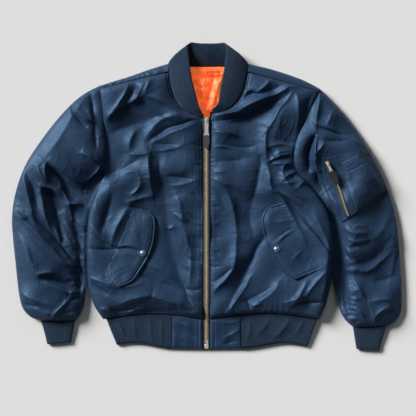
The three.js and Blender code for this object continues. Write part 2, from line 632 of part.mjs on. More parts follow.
// The lined edge of a front, which runs on behind the zip to the middle
function frontFacing(side) {
  const from = HEM_BASE + 16;
  const to = 188;
  const steps = 16;
  const sunk = 4;
  const grid = (height) =>
    Array.from({ length: steps + 1 }, (_, k) => {
      const y = THREE.MathUtils.lerp(from, to, k / steps);
      return [SEAM_GAP, ZIP_HALF_WIDTH + sunk].map(
        (x) => new THREE.Vector3(side * x, y, height(y)),
      );
    });
  const top = (y) => Math.max(zipHeight(y) - CHAIN_THICKNESS / 2 - 1, FRONT_UNDERSIDE + 1);
  return solidBetween(grid(top), grid(() => FRONT_UNDERSIDE));
}

function buildFront(side) {
  const plan = frontPlan(side);
  const outer = frontHeights(plan, side);
  const inner = plan.map((line) => line.map((point) => point.clone().setZ(FRONT_UNDERSIDE)));
  const geometry = joined(solidBetween(outer, inner), frontFacing(side));
  return { outer, geometry };
}

// Back panel: flat on the table, its edges rounding up to the side seams
function flatBack() {
  const right = frontPlan(-1).map((line) => line[line.length - 1]);
  const left = frontPlan(1).map((line) => line[line.length - 1]);
  const rightTop = planCurve(shoulderLine.right, "x", "y");
  const leftTop = planCurve(shoulderLine.left, "x", "y");
  const across = panelSteps(20);
  const shoulderShare = 0.3; // of the width, on each side of the neck
  const topLine = across.map((u) => {
    if (u < shoulderShare) return rightTop(u / shoulderShare);
    if (u > 1 - shoulderShare) return leftTop((1 - u) / shoulderShare);
    const t = (u - shoulderShare) / (1 - 2 * shoulderShare);
    const x = THREE.MathUtils.lerp(-93, 101, t);
    return new THREE.Vector3(x, 319 - 9.5 * Math.sin(Math.PI * t) ** 0.6, 0);
  });
  const last = right.length - 1;
  const plan = right.map((edge, r) =>
    across.map((u, c) => {
      const straight = edge.clone().lerp(left[r], u);
      const top = right[last].clone().lerp(left[last], u);
      const up = THREE.MathUtils.clamp((r - SIDE_STEPS) / ARMHOLE_STEPS, 0, 1);
      const low = THREE.MathUtils.clamp(1 - r / SIDE_STEPS, 0, 1);
      straight.y += (hemSeam(straight.x) - HEM_BASE) * low ** 3;
      return straight.addScaledVector(topLine[c].clone().sub(top), up ** 3);
    }),
  );
  const under = plan.map((line, r) =>
    line.map((point, c) => {
      const fromSide = Math.min(point.distanceTo(line[0]), point.distanceTo(line[line.length - 1]));
      const fromHem = point.distanceTo(plan[0][c]);
      const fromTop = point.distanceTo(plan[last][c]);
      const shoulder = Math.abs(point.x - 4) > 95;
      const lifts = [
        9 * (1 - roundOver(fromSide, 15)),
        4 * (1 - roundOver(fromHem, 12)),
        shoulder ? 8 * (1 - roundOver(fromTop, 14)) : 0,
      ];
      return point.clone().setZ(Math.min(Math.hypot(...lifts), BACK_WALL - 2));
    }),
  );
  const over = plan.map((line) => line.map((point) => point.clone().setZ(BACK_WALL)));
  return solidBetween(over, under);
}

// The strip of the back that comes up and over the shoulder to the seam on the front
function shoulderStrip(side, front) {
  const key = side < 0 ? "right" : "left";
  const outline = planCurve(shoulderLine[key], "x", "y");
  const seamRow = front[front.length - 1];
  const seam = planCurve([...seamRow].reverse(), "x", "y");
  const strip = { foot: 8.5, top: 24.5, sunk: 3 };
  const along = 14;
  const round = 5;
  const outer = [];
  const inner = [];
  for (let k = 0; k <= along; k += 1) {
    const low = outline(0.005 + (0.993 * k) / along);
    const high = seam(k / along);
    const out = low.clone().sub(high);
    high.addScaledVector(out, SEAM_GAP / out.length());
    const outerLine = [];
    const innerLine = [];
    for (let j = 0; j <= round; j += 1) {
      const angle = (j / round) * (Math.PI / 2);
      const share = 1 - Math.cos(angle);
      const rise = Math.sin(angle);
      const outside = low.clone().lerp(high, share);
      const inset = Math.min(strip.sunk, out.length() * 0.3);
      const inside = low.clone().addScaledVector(out, -inset / out.length()).lerp(high, share);
      outerLine.push(outside.setZ(strip.foot + (strip.top - strip.foot) * rise));
      innerLine.push(inside.setZ(BACK_WALL - strip.sunk));
    }
    outer.push(outerLine);
    inner.push(innerLine);
  }
  return solidBetween(outer, inner);
}

// The inner edge of a sleeve lies along the side of the body until the two part
const SNUG = { gap: 0.8, partsFrom: -175, partsBy: -235 };
function besideBody(point, key, side) {
  const seam = planCurve(sideSeam[key], "x", "y");
  let low = 0;
  let high = 1;
  for (let k = 0; k < 24; k += 1) {
    const middle = (low + high) / 2;
    if (seam(middle).y < point.y) low = middle;
    else high = middle;
  }
  const beside = seam(low).x + side * SNUG.gap;
  const parting = THREE.MathUtils.smoothstep(-point.y, -SNUG.partsFrom, -SNUG.partsBy);
  return point.clone().setX(THREE.MathUtils.lerp(beside, point.x, parting));
}

// A flattened tube of cloth. Each station is a ring across the sleeve: over the top from the
// outer edge to the inner edge, and back underneath.
function sleeveRings(key, side) {
  const sections = sleeveSections[key];
  const outerEdge = planCurve(sections, "outerX", "outerY");
  const innerTable = planCurve(sections, "innerX", "innerY");
  const innerEdge = (s) => (s > 0 ? besideBody(innerTable(s), key, side) : innerTable(s));
  const top = column(sections, "top");
  const under = column(sections, "under");
  const slit = column(sections, "slit");
  const arm = planCurve(armhole[key], "x", "y");
  const across = edgeSteps(ARMHOLE_STEPS);
  const outer = [];
  const inner = [];
  for (let k = 0; k <= SLEEVE_STEPS; k += 1) {
    const s = k / SLEEVE_STEPS;
    const a = outerEdge(s);
    const b = innerEdge(s);
    const width = a.distanceTo(b);
    const bowFade = Math.max(0, 1 - s * 4.2) ** 2;
    const seamHeight = Math.min(SEAM_HEIGHT, (top(s) + under(s)) / 2);
    const overTop = [];
    const underneath = [];
    const slitTop = [];
    const slitUnder = [];
    for (const t of across) {
      const point = a.clone().lerp(b, t);
      const bow = arm(1 - t).sub(outerEdge(0).lerp(innerEdge(0), t));
      point.addScaledVector(bow, bowFade);
      point.x += side * SEAM_GAP * bowFade;
      const nearSide = Math.abs(2 * t - 1);
      const crown = (1 - nearSide ** 3) ** (1 / 2.2);
      const flat = (1 - nearSide ** 7) ** (1 / 4);
      const foldFade = roundOver(Math.min(t, 1 - t) * width, 30) * roundOver(Math.min(s, 1 - s), 0.06);
      const folds = foldFade * foldHeight(sleeveFolds[key], point.x, point.y);
      const height = seamHeight + (top(s) - seamHeight) * crown + folds;
      overTop.push(point.clone().setZ(Math.max(height, seamHeight)));
      underneath.push(point.clone().setZ(THREE.MathUtils.lerp(seamHeight, under(s), flat)));
      const inset = SLEEVE_EDGE_WALL / width;
      const inside = a.clone().lerp(b, inset + (1 - 2 * inset) * t);
      inside.addScaledVector(bow, bowFade);
      inside.x += side * SEAM_GAP * bowFade;
      slitTop.push(inside.clone().setZ(slit(s) + SLEEVE_SLIT / 2));
      slitUnder.push(inside.clone().setZ(slit(s) - SLEEVE_SLIT / 2));
    }
    outer.push([...overTop, ...underneath.slice(1, -1).reverse()]);
    inner.push([...slitTop, ...slitUnder.slice(1, -1).reverse()]);
  }
  return { outer, inner, top: outer.map((ring) => ring.slice(0, across.length)) };
}

// A rib cuff: a flattened tube that narrows towards the hand
function cuffRings(key) {
  const sections = cuffSections[key];
  const outerEdge = planCurve(sections, "outerX", "outerY");
  const innerEdge = planCurve(sections, "innerX", "innerY");
  const top = column(sections, "top");
  const under = column(sections, "under");
  const steps = 5;
  const across = edgeSteps(8);
  const rings = (wall) =>
    Array.from({ length: steps + 1 }, (_, k) => {
      const s = k / steps;
      const a = outerEdge(s);
      const b = innerEdge(s);
      const inset = wall / a.distanceTo(b);
      const middle = (top(s) + under(s)) / 2;
      const half = (top(s) - under(s)) / 2 - wall;
      const half3 = (t) => half * (1 - Math.abs(2 * t - 1) ** 4) ** (1 / 2);
      const point = (t, sign) =>
        a.clone().lerp(b, inset + (1 - 2 * inset) * t).setZ(middle + sign * Math.max(half3(t), 0));
      const over = across.map((t) => point(t, 1));
      const below = across.slice(1, -1).reverse().map((t) => point(t, -1));
      return [...over, ...below];
    });
  return solidBetween(rings(0), rings(RIB_WALL), true);
}

// The collar: one band of rib knit, sewn round the neck and folded where it turns from
// the fronts to the back
const COLLAR_SEAT = 1.6; // from the neckline of the fronts to the middle of the collar's wall
function seatOnNeckline(rims, x, y) {
  const rim = x < 0 ? rims.right : rims.left;
  const here = new THREE.Vector3(x, y, 0);
  const inward = x < 0 ? 1 : -1;
  let seat = here;
  let nearest = Infinity;
  for (let k = 0; k < rim.length - 1; k += 1) {
    const from = rim[k].clone().setZ(0);
    const span = rim[k + 1].clone().setZ(0).sub(from);
    const share = THREE.MathUtils.clamp(here.clone().sub(from).dot(span) / span.lengthSq(), 0, 1);
    const point = from.addScaledVector(span, share);
    if (point.distanceTo(here) >= nearest) continue;
    nearest = point.distanceTo(here);
    const inside = new THREE.Vector3(span.y, -span.x, 0).normalize();
    seat = point.addScaledVector(inside, inward * COLLAR_SEAT);
  }
  return seat;
}
function buildCollar(rims) {
  const seamPoints = collarSections.map((s) => {
    const onFront = s.seamZ > 22;
    const place = onFront ? seatOnNeckline(rims, s.seamX, s.seamY) : { x: s.seamX, y: s.seamY };
    return { x: place.x, y: place.y, z: s.seamZ };
  });
  const seamCurve = smoothCurve(seamPoints);
  const edgeCurve = smoothCurve(collarSections.map((s) => ({ x: s.edgeX, y: s.edgeY, z: s.edgeZ })));
  const along = 52;
  const up = 5;
  const bulge = 3.5;
  const middle = Array.from({ length: along + 1 }, (_, k) => {
    const seam = seamCurve.getPoint(k / along);
    const edge = edgeCurve.getPoint(k / along);
    return Array.from({ length: up + 1 }, (__, j) => {
      const point = seam.clone().lerp(edge, j / up);
      point.z += bulge * Math.sin((Math.PI * j) / up) * Math.min(1, 6 * Math.min(k, along - k) / along);
      return point;
    });
  });
  return thicken(middle, COLLAR_WALL);
}

// Sizes of the hem band in plan, from the seam (v = 0) to the free edge (v = 1)
const hemBand = {
  right: (v) => THREE.MathUtils.lerp(-240, -215, v),
  left: (v) => THREE.MathUtils.lerp(264, 242, v),
  height: (v) => THREE.MathUtils.lerp(8.4, 3.9, v),
};
function hemFoot(x) {
  const bump = Math.exp(-(((Math.abs(x - 6) - 182) / 62) ** 2));
  return -367 + 15 * bump;
}
const WOVEN_END = 84; // the rib gives way to a woven end this far from the zip

function hemPoint(x, v) {
  const top = hemSeam(x) - SEAM_GAP;
  return THREE.MathUtils.lerp(top, hemFoot(x), v);
}

// The rib hem: one band from the right woven end, round the side, across the back, round
// the other side and on to the left woven end
function buildHemRib() {
  const rows = 5;
  const turn = 4;
  const layer = 12;
  const middle = [];
  const path = (v) => {
    const z = hemBand.height(v);
    const r = HEM_FOLD_RADIUS;
    const xr = hemBand.right(v) + r;
    const xl = hemBand.left(v) - r;
    const points = [];
    for (let k = 0; k < layer; k += 1)
      points.push([THREE.MathUtils.lerp(-WOVEN_END, xr, k / layer), z + r]);
    for (let k = 0; k <= turn; k += 1) {
      const angle = Math.PI / 2 + (Math.PI * k) / turn;
      points.push([xr + r * Math.cos(angle), z + r * Math.sin(angle)]);
    }
    for (let k = 1; k < 2 * layer; k += 1)
      points.push([THREE.MathUtils.lerp(xr, xl, k / (2 * layer)), z - r]);
    for (let k = 0; k <= turn; k += 1) {
      const angle = -Math.PI / 2 + (Math.PI * k) / turn;
      points.push([xl + r * Math.cos(angle), z + r * Math.sin(angle)]);
    }
    for (let k = 1; k <= layer; k += 1)
      points.push([THREE.MathUtils.lerp(xl, WOVEN_END, k / layer), z + r]);
    return points;
  };
  for (let j = 0; j <= rows; j += 1) {
    const v = j / rows;
    middle.push(path(v).map(([x, z]) => new THREE.Vector3(x, hemPoint(x, v), z)));
  }
  return thicken(middle, RIB_WALL);
}

// A woven end of the hem, between the rib and the zip
function buildHemEnd(side) {
  const rows = 5;
  const columns = 5;
  const grid = (lift) =>
    Array.from({ length: rows + 1 }, (_, j) => {
      const v = j / rows;
      return Array.from({ length: columns + 1 }, (__, c) => {
        const share = c / columns;
        const x = side * THREE.MathUtils.lerp(ZIP_HALF_WIDTH, WOVEN_END - SEAM_GAP, share);
        const puff = 1.4 * Math.sin(Math.PI * v) * Math.sin(Math.PI * share) * (lift > 1 ? 1 : 0);
        return new THREE.Vector3(x, hemPoint(x, v), hemBand.height(v) + lift + puff);
      });
    });
  return solidBetween(grid(4.4), grid(-0.3));
}

// Height of a faceted top surface at a plan point, read from the very triangles of its grid
function heightOn(grid, x, y) {
  let best = null;
  const inTriangle = (a, b, c) => {
    const area = (b.x - a.x) * (c.y - a.y) - (c.x - a.x) * (b.y - a.y);
    if (Math.abs(area) < 1e-9) return;
    const wb = ((x - a.x) * (c.y - a.y) - (c.x - a.x) * (y - a.y)) / area;
    const wc = ((b.x - a.x) * (y - a.y) - (x - a.x) * (b.y - a.y)) / area;
    const wa = 1 - wb - wc;
    if (Math.min(wa, wb, wc) < -1e-6) return;
    const height = wa * a.z + wb * b.z + wc * c.z;
    if (best === null || height > best) best = height;
  };
  for (let r = 0; r < grid.length - 1; r += 1)
    for (let c = 0; c < grid[0].length - 1; c += 1) {
      inTriangle(grid[r][c], grid[r][c + 1], grid[r + 1][c + 1]);
      inTriangle(grid[r][c], grid[r + 1][c + 1], grid[r + 1][c]);
    }
  return best;
}

// A piece that lies on a panel: its plan grid moved out from the panel's own surface
function layOn(panel, plan, wall, edgeWall, gap = ON_PANEL_GAP) {
  const rows = plan.length - 1;
  const columns = plan[0].length - 1;
  const under = plan.map((line) =>
    line.map((p) => p.clone().setZ(heightOn(panel, p.x, p.y) + gap)),
  );
  const over = under.map((line, r) =>
    line.map((p, c) => {
      const nearEdge = r === 0 || c === 0 || r === rows || c === columns;
      return p.clone().setZ(p.z + (nearEdge ? edgeWall : wall));
    }),
  );
  return solidBetween(over, under);
}

function planGrid(table, near, far, rows, columns) {
  const nearCurve = planCurve(table, near[0], near[1]);
  const farCurve = planCurve(table, far[0], far[1]);
  return Array.from({ length: rows + 1 }, (_, r) =>
    Array.from({ length: columns + 1 }, (__, c) =>
      nearCurve(r / rows).lerp(farCurve(r / rows), c / columns),
    ),
  );
}

function buildLining() {
  const rows = 11;
  const columns = 10;
  const left = column(liningSections, "leftX");
  const right = column(liningSections, "rightX");
  const level = column(liningSections, "y");
  const grid = (top) =>
    Array.from({ length: rows + 1 }, (_, r) =>
      Array.from({ length: columns + 1 }, (__, c) => {
        const v = r / rows;
        const u = c / columns;
        const x = THREE.MathUtils.lerp(left(v), right(v), u);
        const y = level(v);
        const inside = Math.sin(Math.PI * u) * Math.sin(Math.PI * THREE.MathUtils.clamp(v, 0, 0.999));
        const puff = inside > 0 ? inside ** 0.6 : 0;
        const height = 2 + puff * (3.5 + foldHeight(liningFolds, x, y));
        return new THREE.Vector3(x, y, FRONT_UNDERSIDE + (top ? Math.max(height, 1.2) : 0));
      }),
    );
  return solidBetween(grid(true), grid(false));
}

// A strip that runs down the zip between two values of x, following the zip's height
function zipStrip(fromX, toX, fromY, toY, thickness) {
  const steps = 26;
  const grid = (lift) =>
    Array.from({ length: steps + 1 }, (_, k) => {
      const y = THREE.MathUtils.lerp(fromY, toY, k / steps);
      return [fromX, toX].map((x) => new THREE.Vector3(x, y, zipHeight(y) + lift));
    });
  return solidBetween(grid(thickness / 2), grid(-thickness / 2));
}

// Zip slider with its pull, in its own frame: the pull's pin lies at the origin along X, and
// the pull hangs towards -Y
const frontPull = {
  sliderWidth: 10.5,
  sliderLength: 15,
  sliderThickness: 6,
  pullLength: 36,
  pullWidth: 9.6,
  forkWidth: 13,
  tabLength: 32,
  tabWidth: 14,
};
const sleevePull = {
  sliderWidth: 8,
  sliderLength: 11,
  sliderThickness: 3.4,
  pullLength: 19,
  pullWidth: 6.4,
  forkWidth: 9,
  tabLength: 36,
  tabWidth: 16,
};
const PIN_RADIUS = 0.8;
const PIN_CLEAR = 0.4;
const BRIDGE_WALL = 1;
const BRIDGE_REACH = 3.9;
const PIN_ABOVE_SLIDER = PIN_RADIUS + PIN_CLEAR;

function extruded(points, depth, lift) {
  const shape = new THREE.Shape(points.map(([x, y]) => new THREE.Vector2(x, y)));
  const geometry = new THREE.ExtrudeGeometry(shape, { depth, bevelEnabled: false });
  return geometry.translate(0, 0, lift);
}

function box(width, length, height, x, y, z) {
  return new THREE.BoxGeometry(width, length, height).translate(x, y, z);
}

function sliderGeometry(size) {
  const half = size.sliderWidth / 2;
  const end = size.sliderLength / 2;
  const top = -PIN_ABOVE_SLIDER;
  const outline = [
    [-half * 0.72, -end],
    [half * 0.72, -end],
    [half * 0.78, -end * 0.1],
    [half, end * 0.35],
    [half * 0.86, end],
    [-half * 0.86, end],
    [-half, end * 0.35],
    [-half * 0.78, -end * 0.1],
  ];
  const body = extruded(outline, size.sliderThickness, top - size.sliderThickness);
  const clear = 2 * (PIN_RADIUS + PIN_CLEAR);
  const postHeight = clear + BRIDGE_WALL + 0.4;
  const post = (y) => box(1.8, BRIDGE_WALL, postHeight, 0, y, top - 0.4 + postHeight / 2);
  const bar = box(1.8, 2 * BRIDGE_REACH + BRIDGE_WALL, BRIDGE_WALL, 0, 0, top + clear + BRIDGE_WALL / 2);
  return joined(body, post(-BRIDGE_REACH), post(BRIDGE_REACH), bar);
}

function pullGeometry(size) {
  const plate = 1.5;
  const half = size.pullWidth / 2;
  const fork = size.forkWidth / 2;
  const notch = 0.3 * fork;
  const window = { half: 1.6, end: 6.2 };
  const end = -size.pullLength;
  const outline = [
    [-half * 0.9, 0.6],
    [half * 0.9, 0.6],
    [half, end * 0.3],
    [half * 0.86, end * 0.72],
    [fork, end - 0.6],
    [notch, end + 1.2],
    [-notch, end + 1.2],
    [-fork, end - 0.6],
    [-half * 0.86, end * 0.72],
    [-half, end * 0.3],
  ];
  const solid = toSolid(extruded(outline, plate, -plate / 2));
  const hole = toSolid(box(2 * window.half, window.end, 4, 0, -window.end / 2, 0));
  const behind = toSolid(box(2 * window.half, 3, 4, 0, 1.4, 0));
  const pin = new THREE.CylinderGeometry(PIN_RADIUS, PIN_RADIUS, 2 * half * 0.86, 12);
  pin.rotateZ(Math.PI / 2);
  return fromSolid(solid.subtract(hole).subtract(behind).add(toSolid(pin)));
}

// The leaf-shaped tab that is fixed in the fork of the pull
function tabGeometry(size) {
  const top = -size.pullLength + 1.2 - SEAM_GAP;
  const foot = top - size.tabLength;
  const half = size.tabWidth / 2;
  const notch = 0.3 * (size.forkWidth / 2) - SEAM_GAP;
  const outline = [
    [-notch, top],
    [notch, top],
    [half * 0.86, top - 2.6],
    [half, top - size.tabLength * 0.4],
    [half * 0.94, top - size.tabLength * 0.62],
    [half * 0.45, foot],
    [-half * 0.45, foot],
    [-half * 0.94, top - size.tabLength * 0.62],
    [-half, top - size.tabLength * 0.4],
    [-half * 0.86, top - 2.6],
  ];
  return extruded(outline, 2.2, -1.1);
}

function addPull(prefix, size, place, turn) {
  const group = new THREE.Group();
  group.position.copy(place);
  group.rotation.z = turn;
  addPiece(group, `${prefix}_slider`, sliderGeometry(size), "nickel");
  addPiece(group, `${prefix}_pull`, pullGeometry(size), "nickel");
  addPiece(group, `${prefix}_tab`, tabGeometry(size), "tab");
  jacket.add(group);
}

// A domed snap cap, turned on a lathe
function snapGeometry() {
  const radius = 7.4;
  const profile = [
    [0, 0],
    [radius, 0],
    [radius, 1.1],
    [radius * 0.86, 2.2],
    [radius * 0.5, 3.1],
    [0, 3.4],
  ];
  const geometry = new THREE.LatheGeometry(
    profile.map(([r, z]) => new THREE.Vector2(r, z)),
    20,
  );
  return geometry.rotateX(Math.PI / 2);
}

// Body of the jacket
const fronts = { right: buildFront(-1), left: buildFront(1) };
addPiece(jacket, "front_right", thinned(fronts.right.geometry), "nylon");
addPiece(jacket, "front_left", thinned(fronts.left.geometry), "nylon");
const backPanel = joined(
  flatBack(),
  shoulderStrip(-1, fronts.right.outer),
  shoulderStrip(1, fronts.left.outer),
);
addPiece(jacket, "back", thinned(backPanel), "nylon");

// Sleeves and cuffs
const sleeves = { right: sleeveRings("right", -1), left: sleeveRings("left", 1) };
for (const key of ["right", "left"]) {
  const { outer, inner } = sleeves[key];
  addPiece(jacket, `sleeve_${key}`, thinned(solidBetween(outer, inner, true)), "nylon");
  addPiece(jacket, `cuff_${key}`, thinned(cuffRings(key)), "knit");
}

// Knitted collar and hem
const rimOf = (key) => fronts[key].outer.slice(SIDE_STEPS + 8).map((line) => line[0]);
const collar = buildCollar({ right: rimOf("right"), left: rimOf("left") });
addPiece(jacket, "collar", thinned(collar), "knit");
addPiece(jacket, "hem_rib", thinned(buildHemRib()), "knit");
addPiece(jacket, "hem_end_right", buildHemEnd(-1), "nylon");
addPiece(jacket, "hem_end_left", buildHemEnd(1), "nylon");
addPiece(jacket, "neck_lining", thinned(buildLining()), "lining");

// Flap pockets with their snaps
for (const key of ["right", "left"]) {
  const plan = planGrid(flapSections[key], ["hingeX", "hingeY"], ["farX", "farY"], 11, 6);
  addPiece(jacket, `flap_${key}`, layOn(fronts[key].outer, plan, FLAP_WALL, 2.6), "nylon");
  const place = snapPlace[key];
  const under = heightOn(fronts[key].outer, place.x, place.y) + ON_PANEL_GAP + FLAP_WALL;
  const snap = addPiece(jacket, `snap_${key}`, snapGeometry(), "snap");
  snap.position.set(place.x, place.y, under + 0.5);
}

// Front zip
const SLIDER_AT = 182;
const CHAIN_TOP = SLIDER_AT - frontPull.sliderLength / 2 - SEAM_GAP;
const ZIP_FOOT = -366;
const tapeInner = CHAIN_HALF_WIDTH + SEAM_GAP;
const tapeOuter = ZIP_HALF_WIDTH - SEAM_GAP;
addPiece(
  jacket,
  "zip_chain",
  zipStrip(-CHAIN_HALF_WIDTH, CHAIN_HALF_WIDTH, CHAIN_TOP, ZIP_FOOT, CHAIN_THICKNESS),
  "brass",
);
addPiece(
  jacket,
  "zip_tape_right",
  zipStrip(-tapeOuter, -tapeInner, CHAIN_TOP, ZIP_FOOT, TAPE_THICKNESS),
  "tape",
);
addPiece(
  jacket,
  "zip_tape_left",
  zipStrip(tapeInner, tapeOuter, CHAIN_TOP, ZIP_FOOT, TAPE_THICKNESS),
  "tape",
);
const sliderTop = zipHeight(SLIDER_AT) + frontPull.sliderThickness / 2 + 0.6;
addPull("front", frontPull, new THREE.Vector3(0, SLIDER_AT, sliderTop + PIN_ABOVE_SLIDER), 0);

// Zip pocket on the left sleeve, the pen pocket on it, and the plain label above them
const sleeveTop = sleeves.left.top;
const near = ["nearX", "nearY"];
const far = ["farX", "farY"];
const zipPocketPlan = planGrid(zipPocketSections, near, far, 14, 10);
const penPocketPlan = planGrid(penPocketSections, near, far, 9, 6);
const onPocket = 2 * ON_PANEL_GAP + PATCH_WALL;
addPiece(jacket, "sleeve_pocket", layOn(sleeveTop, zipPocketPlan, PATCH_WALL, PATCH_WALL), "nylon");
addPiece(
  jacket,
  "pen_pocket",
  layOn(sleeveTop, penPocketPlan, PATCH_WALL, PATCH_WALL, onPocket),
  "nylon",
);
const labelPlan = planGrid(labelSections, near, far, 4, 4);
addPiece(jacket, "sleeve_label", layOn(sleeveTop, labelPlan, 1, 1, 1.4), "tab");

const SLEEVE_CHAIN_HALF = 2.8;
const sleeveZipCurve = planCurve(sleeveZip, "x", "y");
const chainPlan = Array.from({ length: 15 }, (_, k) => {
  const middle = sleeveZipCurve(k / 14);
  const ahead = sleeveZipCurve(k / 14 + 0.02).sub(sleeveZipCurve(k / 14 - 0.02)).normalize();
  return [-1, 1].map((side) =>
    new THREE.Vector3(-ahead.y, ahead.x, 0).multiplyScalar(side * SLEEVE_CHAIN_HALF).add(middle),
  );
});
addPiece(jacket, "sleeve_zip_chain", layOn(sleeveTop, chainPlan, 1.8, 1.8, onPocket), "brass");
const pullAt = { share: 0.075, turn: 0.42, above: onPocket + 2.1 };
const pin = sleeveZipCurve(pullAt.share);
pin.z = heightOn(sleeveTop, pin.x, pin.y) + pullAt.above;
pin.z += sleevePull.sliderThickness + PIN_ABOVE_SLIDER;
addPull("sleeve", sleevePull, pin, pullAt.turn);

export default jacket;
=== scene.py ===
# %% [markdown]
# # A padded bomber jacket, laid out flat
# The jacket lies on its back on a pale surface with the zip closed. Its shell is satin-woven
# nylon over wadding, so it stands up in soft, creased pillows between the seams, and the
# collar, cuffs and hem are flat bands of rib knit.
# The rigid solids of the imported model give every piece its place. Here each cloth piece is
# made again as a fine surface, and the small hard parts get better finishes.

import bpy
import numpy as np
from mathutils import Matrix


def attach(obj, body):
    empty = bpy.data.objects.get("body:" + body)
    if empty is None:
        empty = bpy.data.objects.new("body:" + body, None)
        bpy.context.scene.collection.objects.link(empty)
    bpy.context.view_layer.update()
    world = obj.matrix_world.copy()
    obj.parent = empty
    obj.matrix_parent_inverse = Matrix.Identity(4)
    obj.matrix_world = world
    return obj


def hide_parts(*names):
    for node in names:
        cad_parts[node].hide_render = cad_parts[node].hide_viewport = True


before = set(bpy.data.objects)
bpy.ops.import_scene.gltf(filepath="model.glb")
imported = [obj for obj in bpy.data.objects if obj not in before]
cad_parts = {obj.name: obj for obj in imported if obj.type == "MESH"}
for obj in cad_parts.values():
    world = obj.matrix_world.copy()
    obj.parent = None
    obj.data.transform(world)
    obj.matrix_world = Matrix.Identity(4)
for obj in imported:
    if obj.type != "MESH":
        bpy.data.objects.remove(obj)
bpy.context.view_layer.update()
MM = 0.001

# %% [markdown]
# ## Camera, floor and light
# The photograph looks straight down on the jacket. A long lens far above keeps the sleeves
# from leaning outwards. The light comes from the upper left, low enough to draw a bright and
# a dark side on each fold, and the pale surface and a grey sky fill the shadows.

# %% Camera, floor and light
VIEW_CENTRE = (0.0036, -0.0276)  # metres, what the middle of the picture looks at
VIEW_WIDTH = 0.9984  # metres across the picture at half the jacket's height
CAMERA_HEIGHT = 3.2
LENS = 36 * (CAMERA_HEIGHT - 0.018) / VIEW_WIDTH

camera_data = bpy.data.cameras.new("camera")
camera_data.sensor_width = 36
camera_data.lens = LENS
camera = bpy.data.objects.new("camera", camera_data)
camera.location = (*VIEW_CENTRE, CAMERA_HEIGHT)
bpy.context.scene.collection.objects.link(camera)
bpy.context.scene.camera = camera


def aim(obj, target):
    """Turns obj so that its -Z axis points at target."""
    way = np.array(target, float) - np.array(obj.location, float)
    flat = np.hypot(way[0], way[1])
    obj.rotation_euler = (np.arctan2(flat, -way[2]), 0, np.arctan2(-way[0], way[1]))


def window_light(name, place, watts, spread, colour=(1, 1, 1)):
    """A distant light that shines from place towards the origin, as wide as spread degrees."""
    data = bpy.data.lights.new(name, "SUN")
    data.angle = np.radians(spread)
    data.energy = watts
    data.color = colour
    light = bpy.data.objects.new(name, data)
    light.location = place
    aim(light, (0, 0, 0))
    bpy.context.scene.collection.objects.link(light)


window_light("key_light", (-1.5, 1.05, 0.95), 6.1, 22)
window_light("low_light", (0.6, 1.6, 1.2), 0.25, 50)

world = bpy.data.worlds.new("studio")
bpy.context.scene.world = world
world.use_nodes = True
SKY = (0.86, 0.92, 1.0, 1)
world.node_tree.nodes["Background"].inputs["Color"].default_value = SKY
world.node_tree.nodes["Background"].inputs["Strength"].default_value = 0.085
bpy.context.scene.view_settings.view_transform = "Standard"


# %% [markdown]
# ## Finishes
# Three node groups hold what several finishes share: the wandering of colour over a surface, a
# fine weave and the small crumpling of nylon between its large folds. The fur of knitting is a plain noise in the
# knit's own tree.
# They read Object coordinates, because every piece lies almost flat in the X-Y plane.

# %% Node groups
def new_group(name, inputs, outputs):
    """An empty node group with number inputs (name: default) and outputs (name: socket type)."""
    group = bpy.data.node_groups.new(name, "ShaderNodeTree")
    for label, value in inputs.items():
        socket = group.interface.new_socket(label, in_out="INPUT", socket_type="NodeSocketFloat")
        socket.default_value = value
    for label, kind in outputs.items():
        group.interface.new_socket(label, in_out="OUTPUT", socket_type=kind)
    return group, group.nodes.new("NodeGroupInput"), group.nodes.new("NodeGroupOutput")


def noise_node(tree, coordinates, scale, detail=3.0, roughness=0.5, distortion=0.0):
    """A 3-D noise texture on the given coordinates."""
    node = tree.nodes.new("ShaderNodeTexNoise")
    node.inputs["Detail"].default_value = detail
    node.inputs["Roughness"].default_value = roughness
    node.inputs["Distortion"].default_value = distortion
    tree.links.new(coordinates, node.inputs["Vector"])
    if isinstance(scale, (int, float)):
        node.inputs["Scale"].default_value = scale
    else:
        tree.links.new(scale, node.inputs["Scale"])
    return node


def math_node(tree, operation, first, second=None):
    """A Math node; first and second are sockets or numbers."""
    node = tree.nodes.new("ShaderNodeMath")
    node.operation = operation
    for place, value in enumerate((first, second)):
        if value is None:
            continue
        if isinstance(value, (int, float)):
            node.inputs[place].default_value = value
        else:
            tree.links.new(value, node.inputs[place])
    return node.outputs[0]


def build_weave():
    """Twill of warp and weft: two crossed sine waves, one carried diagonally."""
    group, source, sink = new_group("satin weave", {"Threads per metre": 1500}, {"Height": "NodeSocketFloat"})
    place = group.nodes.new("ShaderNodeTexCoord").outputs["Object"]
    split = group.nodes.new("ShaderNodeSeparateXYZ")
    group.links.new(place, split.inputs[0])
    turns = math_node(group, "MULTIPLY", source.outputs[0], 2 * np.pi)
    across = math_node(group, "SINE", math_node(group, "MULTIPLY", split.outputs["X"], turns))
    slant = math_node(group, "ADD", split.outputs["Y"], math_node(group, "MULTIPLY", split.outputs["X"], 0.4))
    along = math_node(group, "SINE", math_node(group, "MULTIPLY", slant, turns))
    both = math_node(group, "MULTIPLY", across, along)
    group.links.new(math_node(group, "MULTIPLY", both, 0.5), sink.inputs["Height"])
    return group


def build_crumple():
    """Small creases: thin ridges where a warped noise crosses its middle value."""
    group, source, sink = new_group("crumple", {"Creases per metre": 38}, {"Height": "NodeSocketFloat"})
    place = group.nodes.new("ShaderNodeTexCoord").outputs["Object"]
    large = noise_node(group, place, source.outputs[0], 2.0, 0.5, 1.2)
    offset = math_node(group, "SUBTRACT", large.outputs["Fac"], 0.5)
    ridge = math_node(group, "MULTIPLY", math_node(group, "ABSOLUTE", offset), -6.0)
    sharp = math_node(group, "POWER", 2.718, ridge)
    group.links.new(sharp, sink.inputs["Height"])
    return group


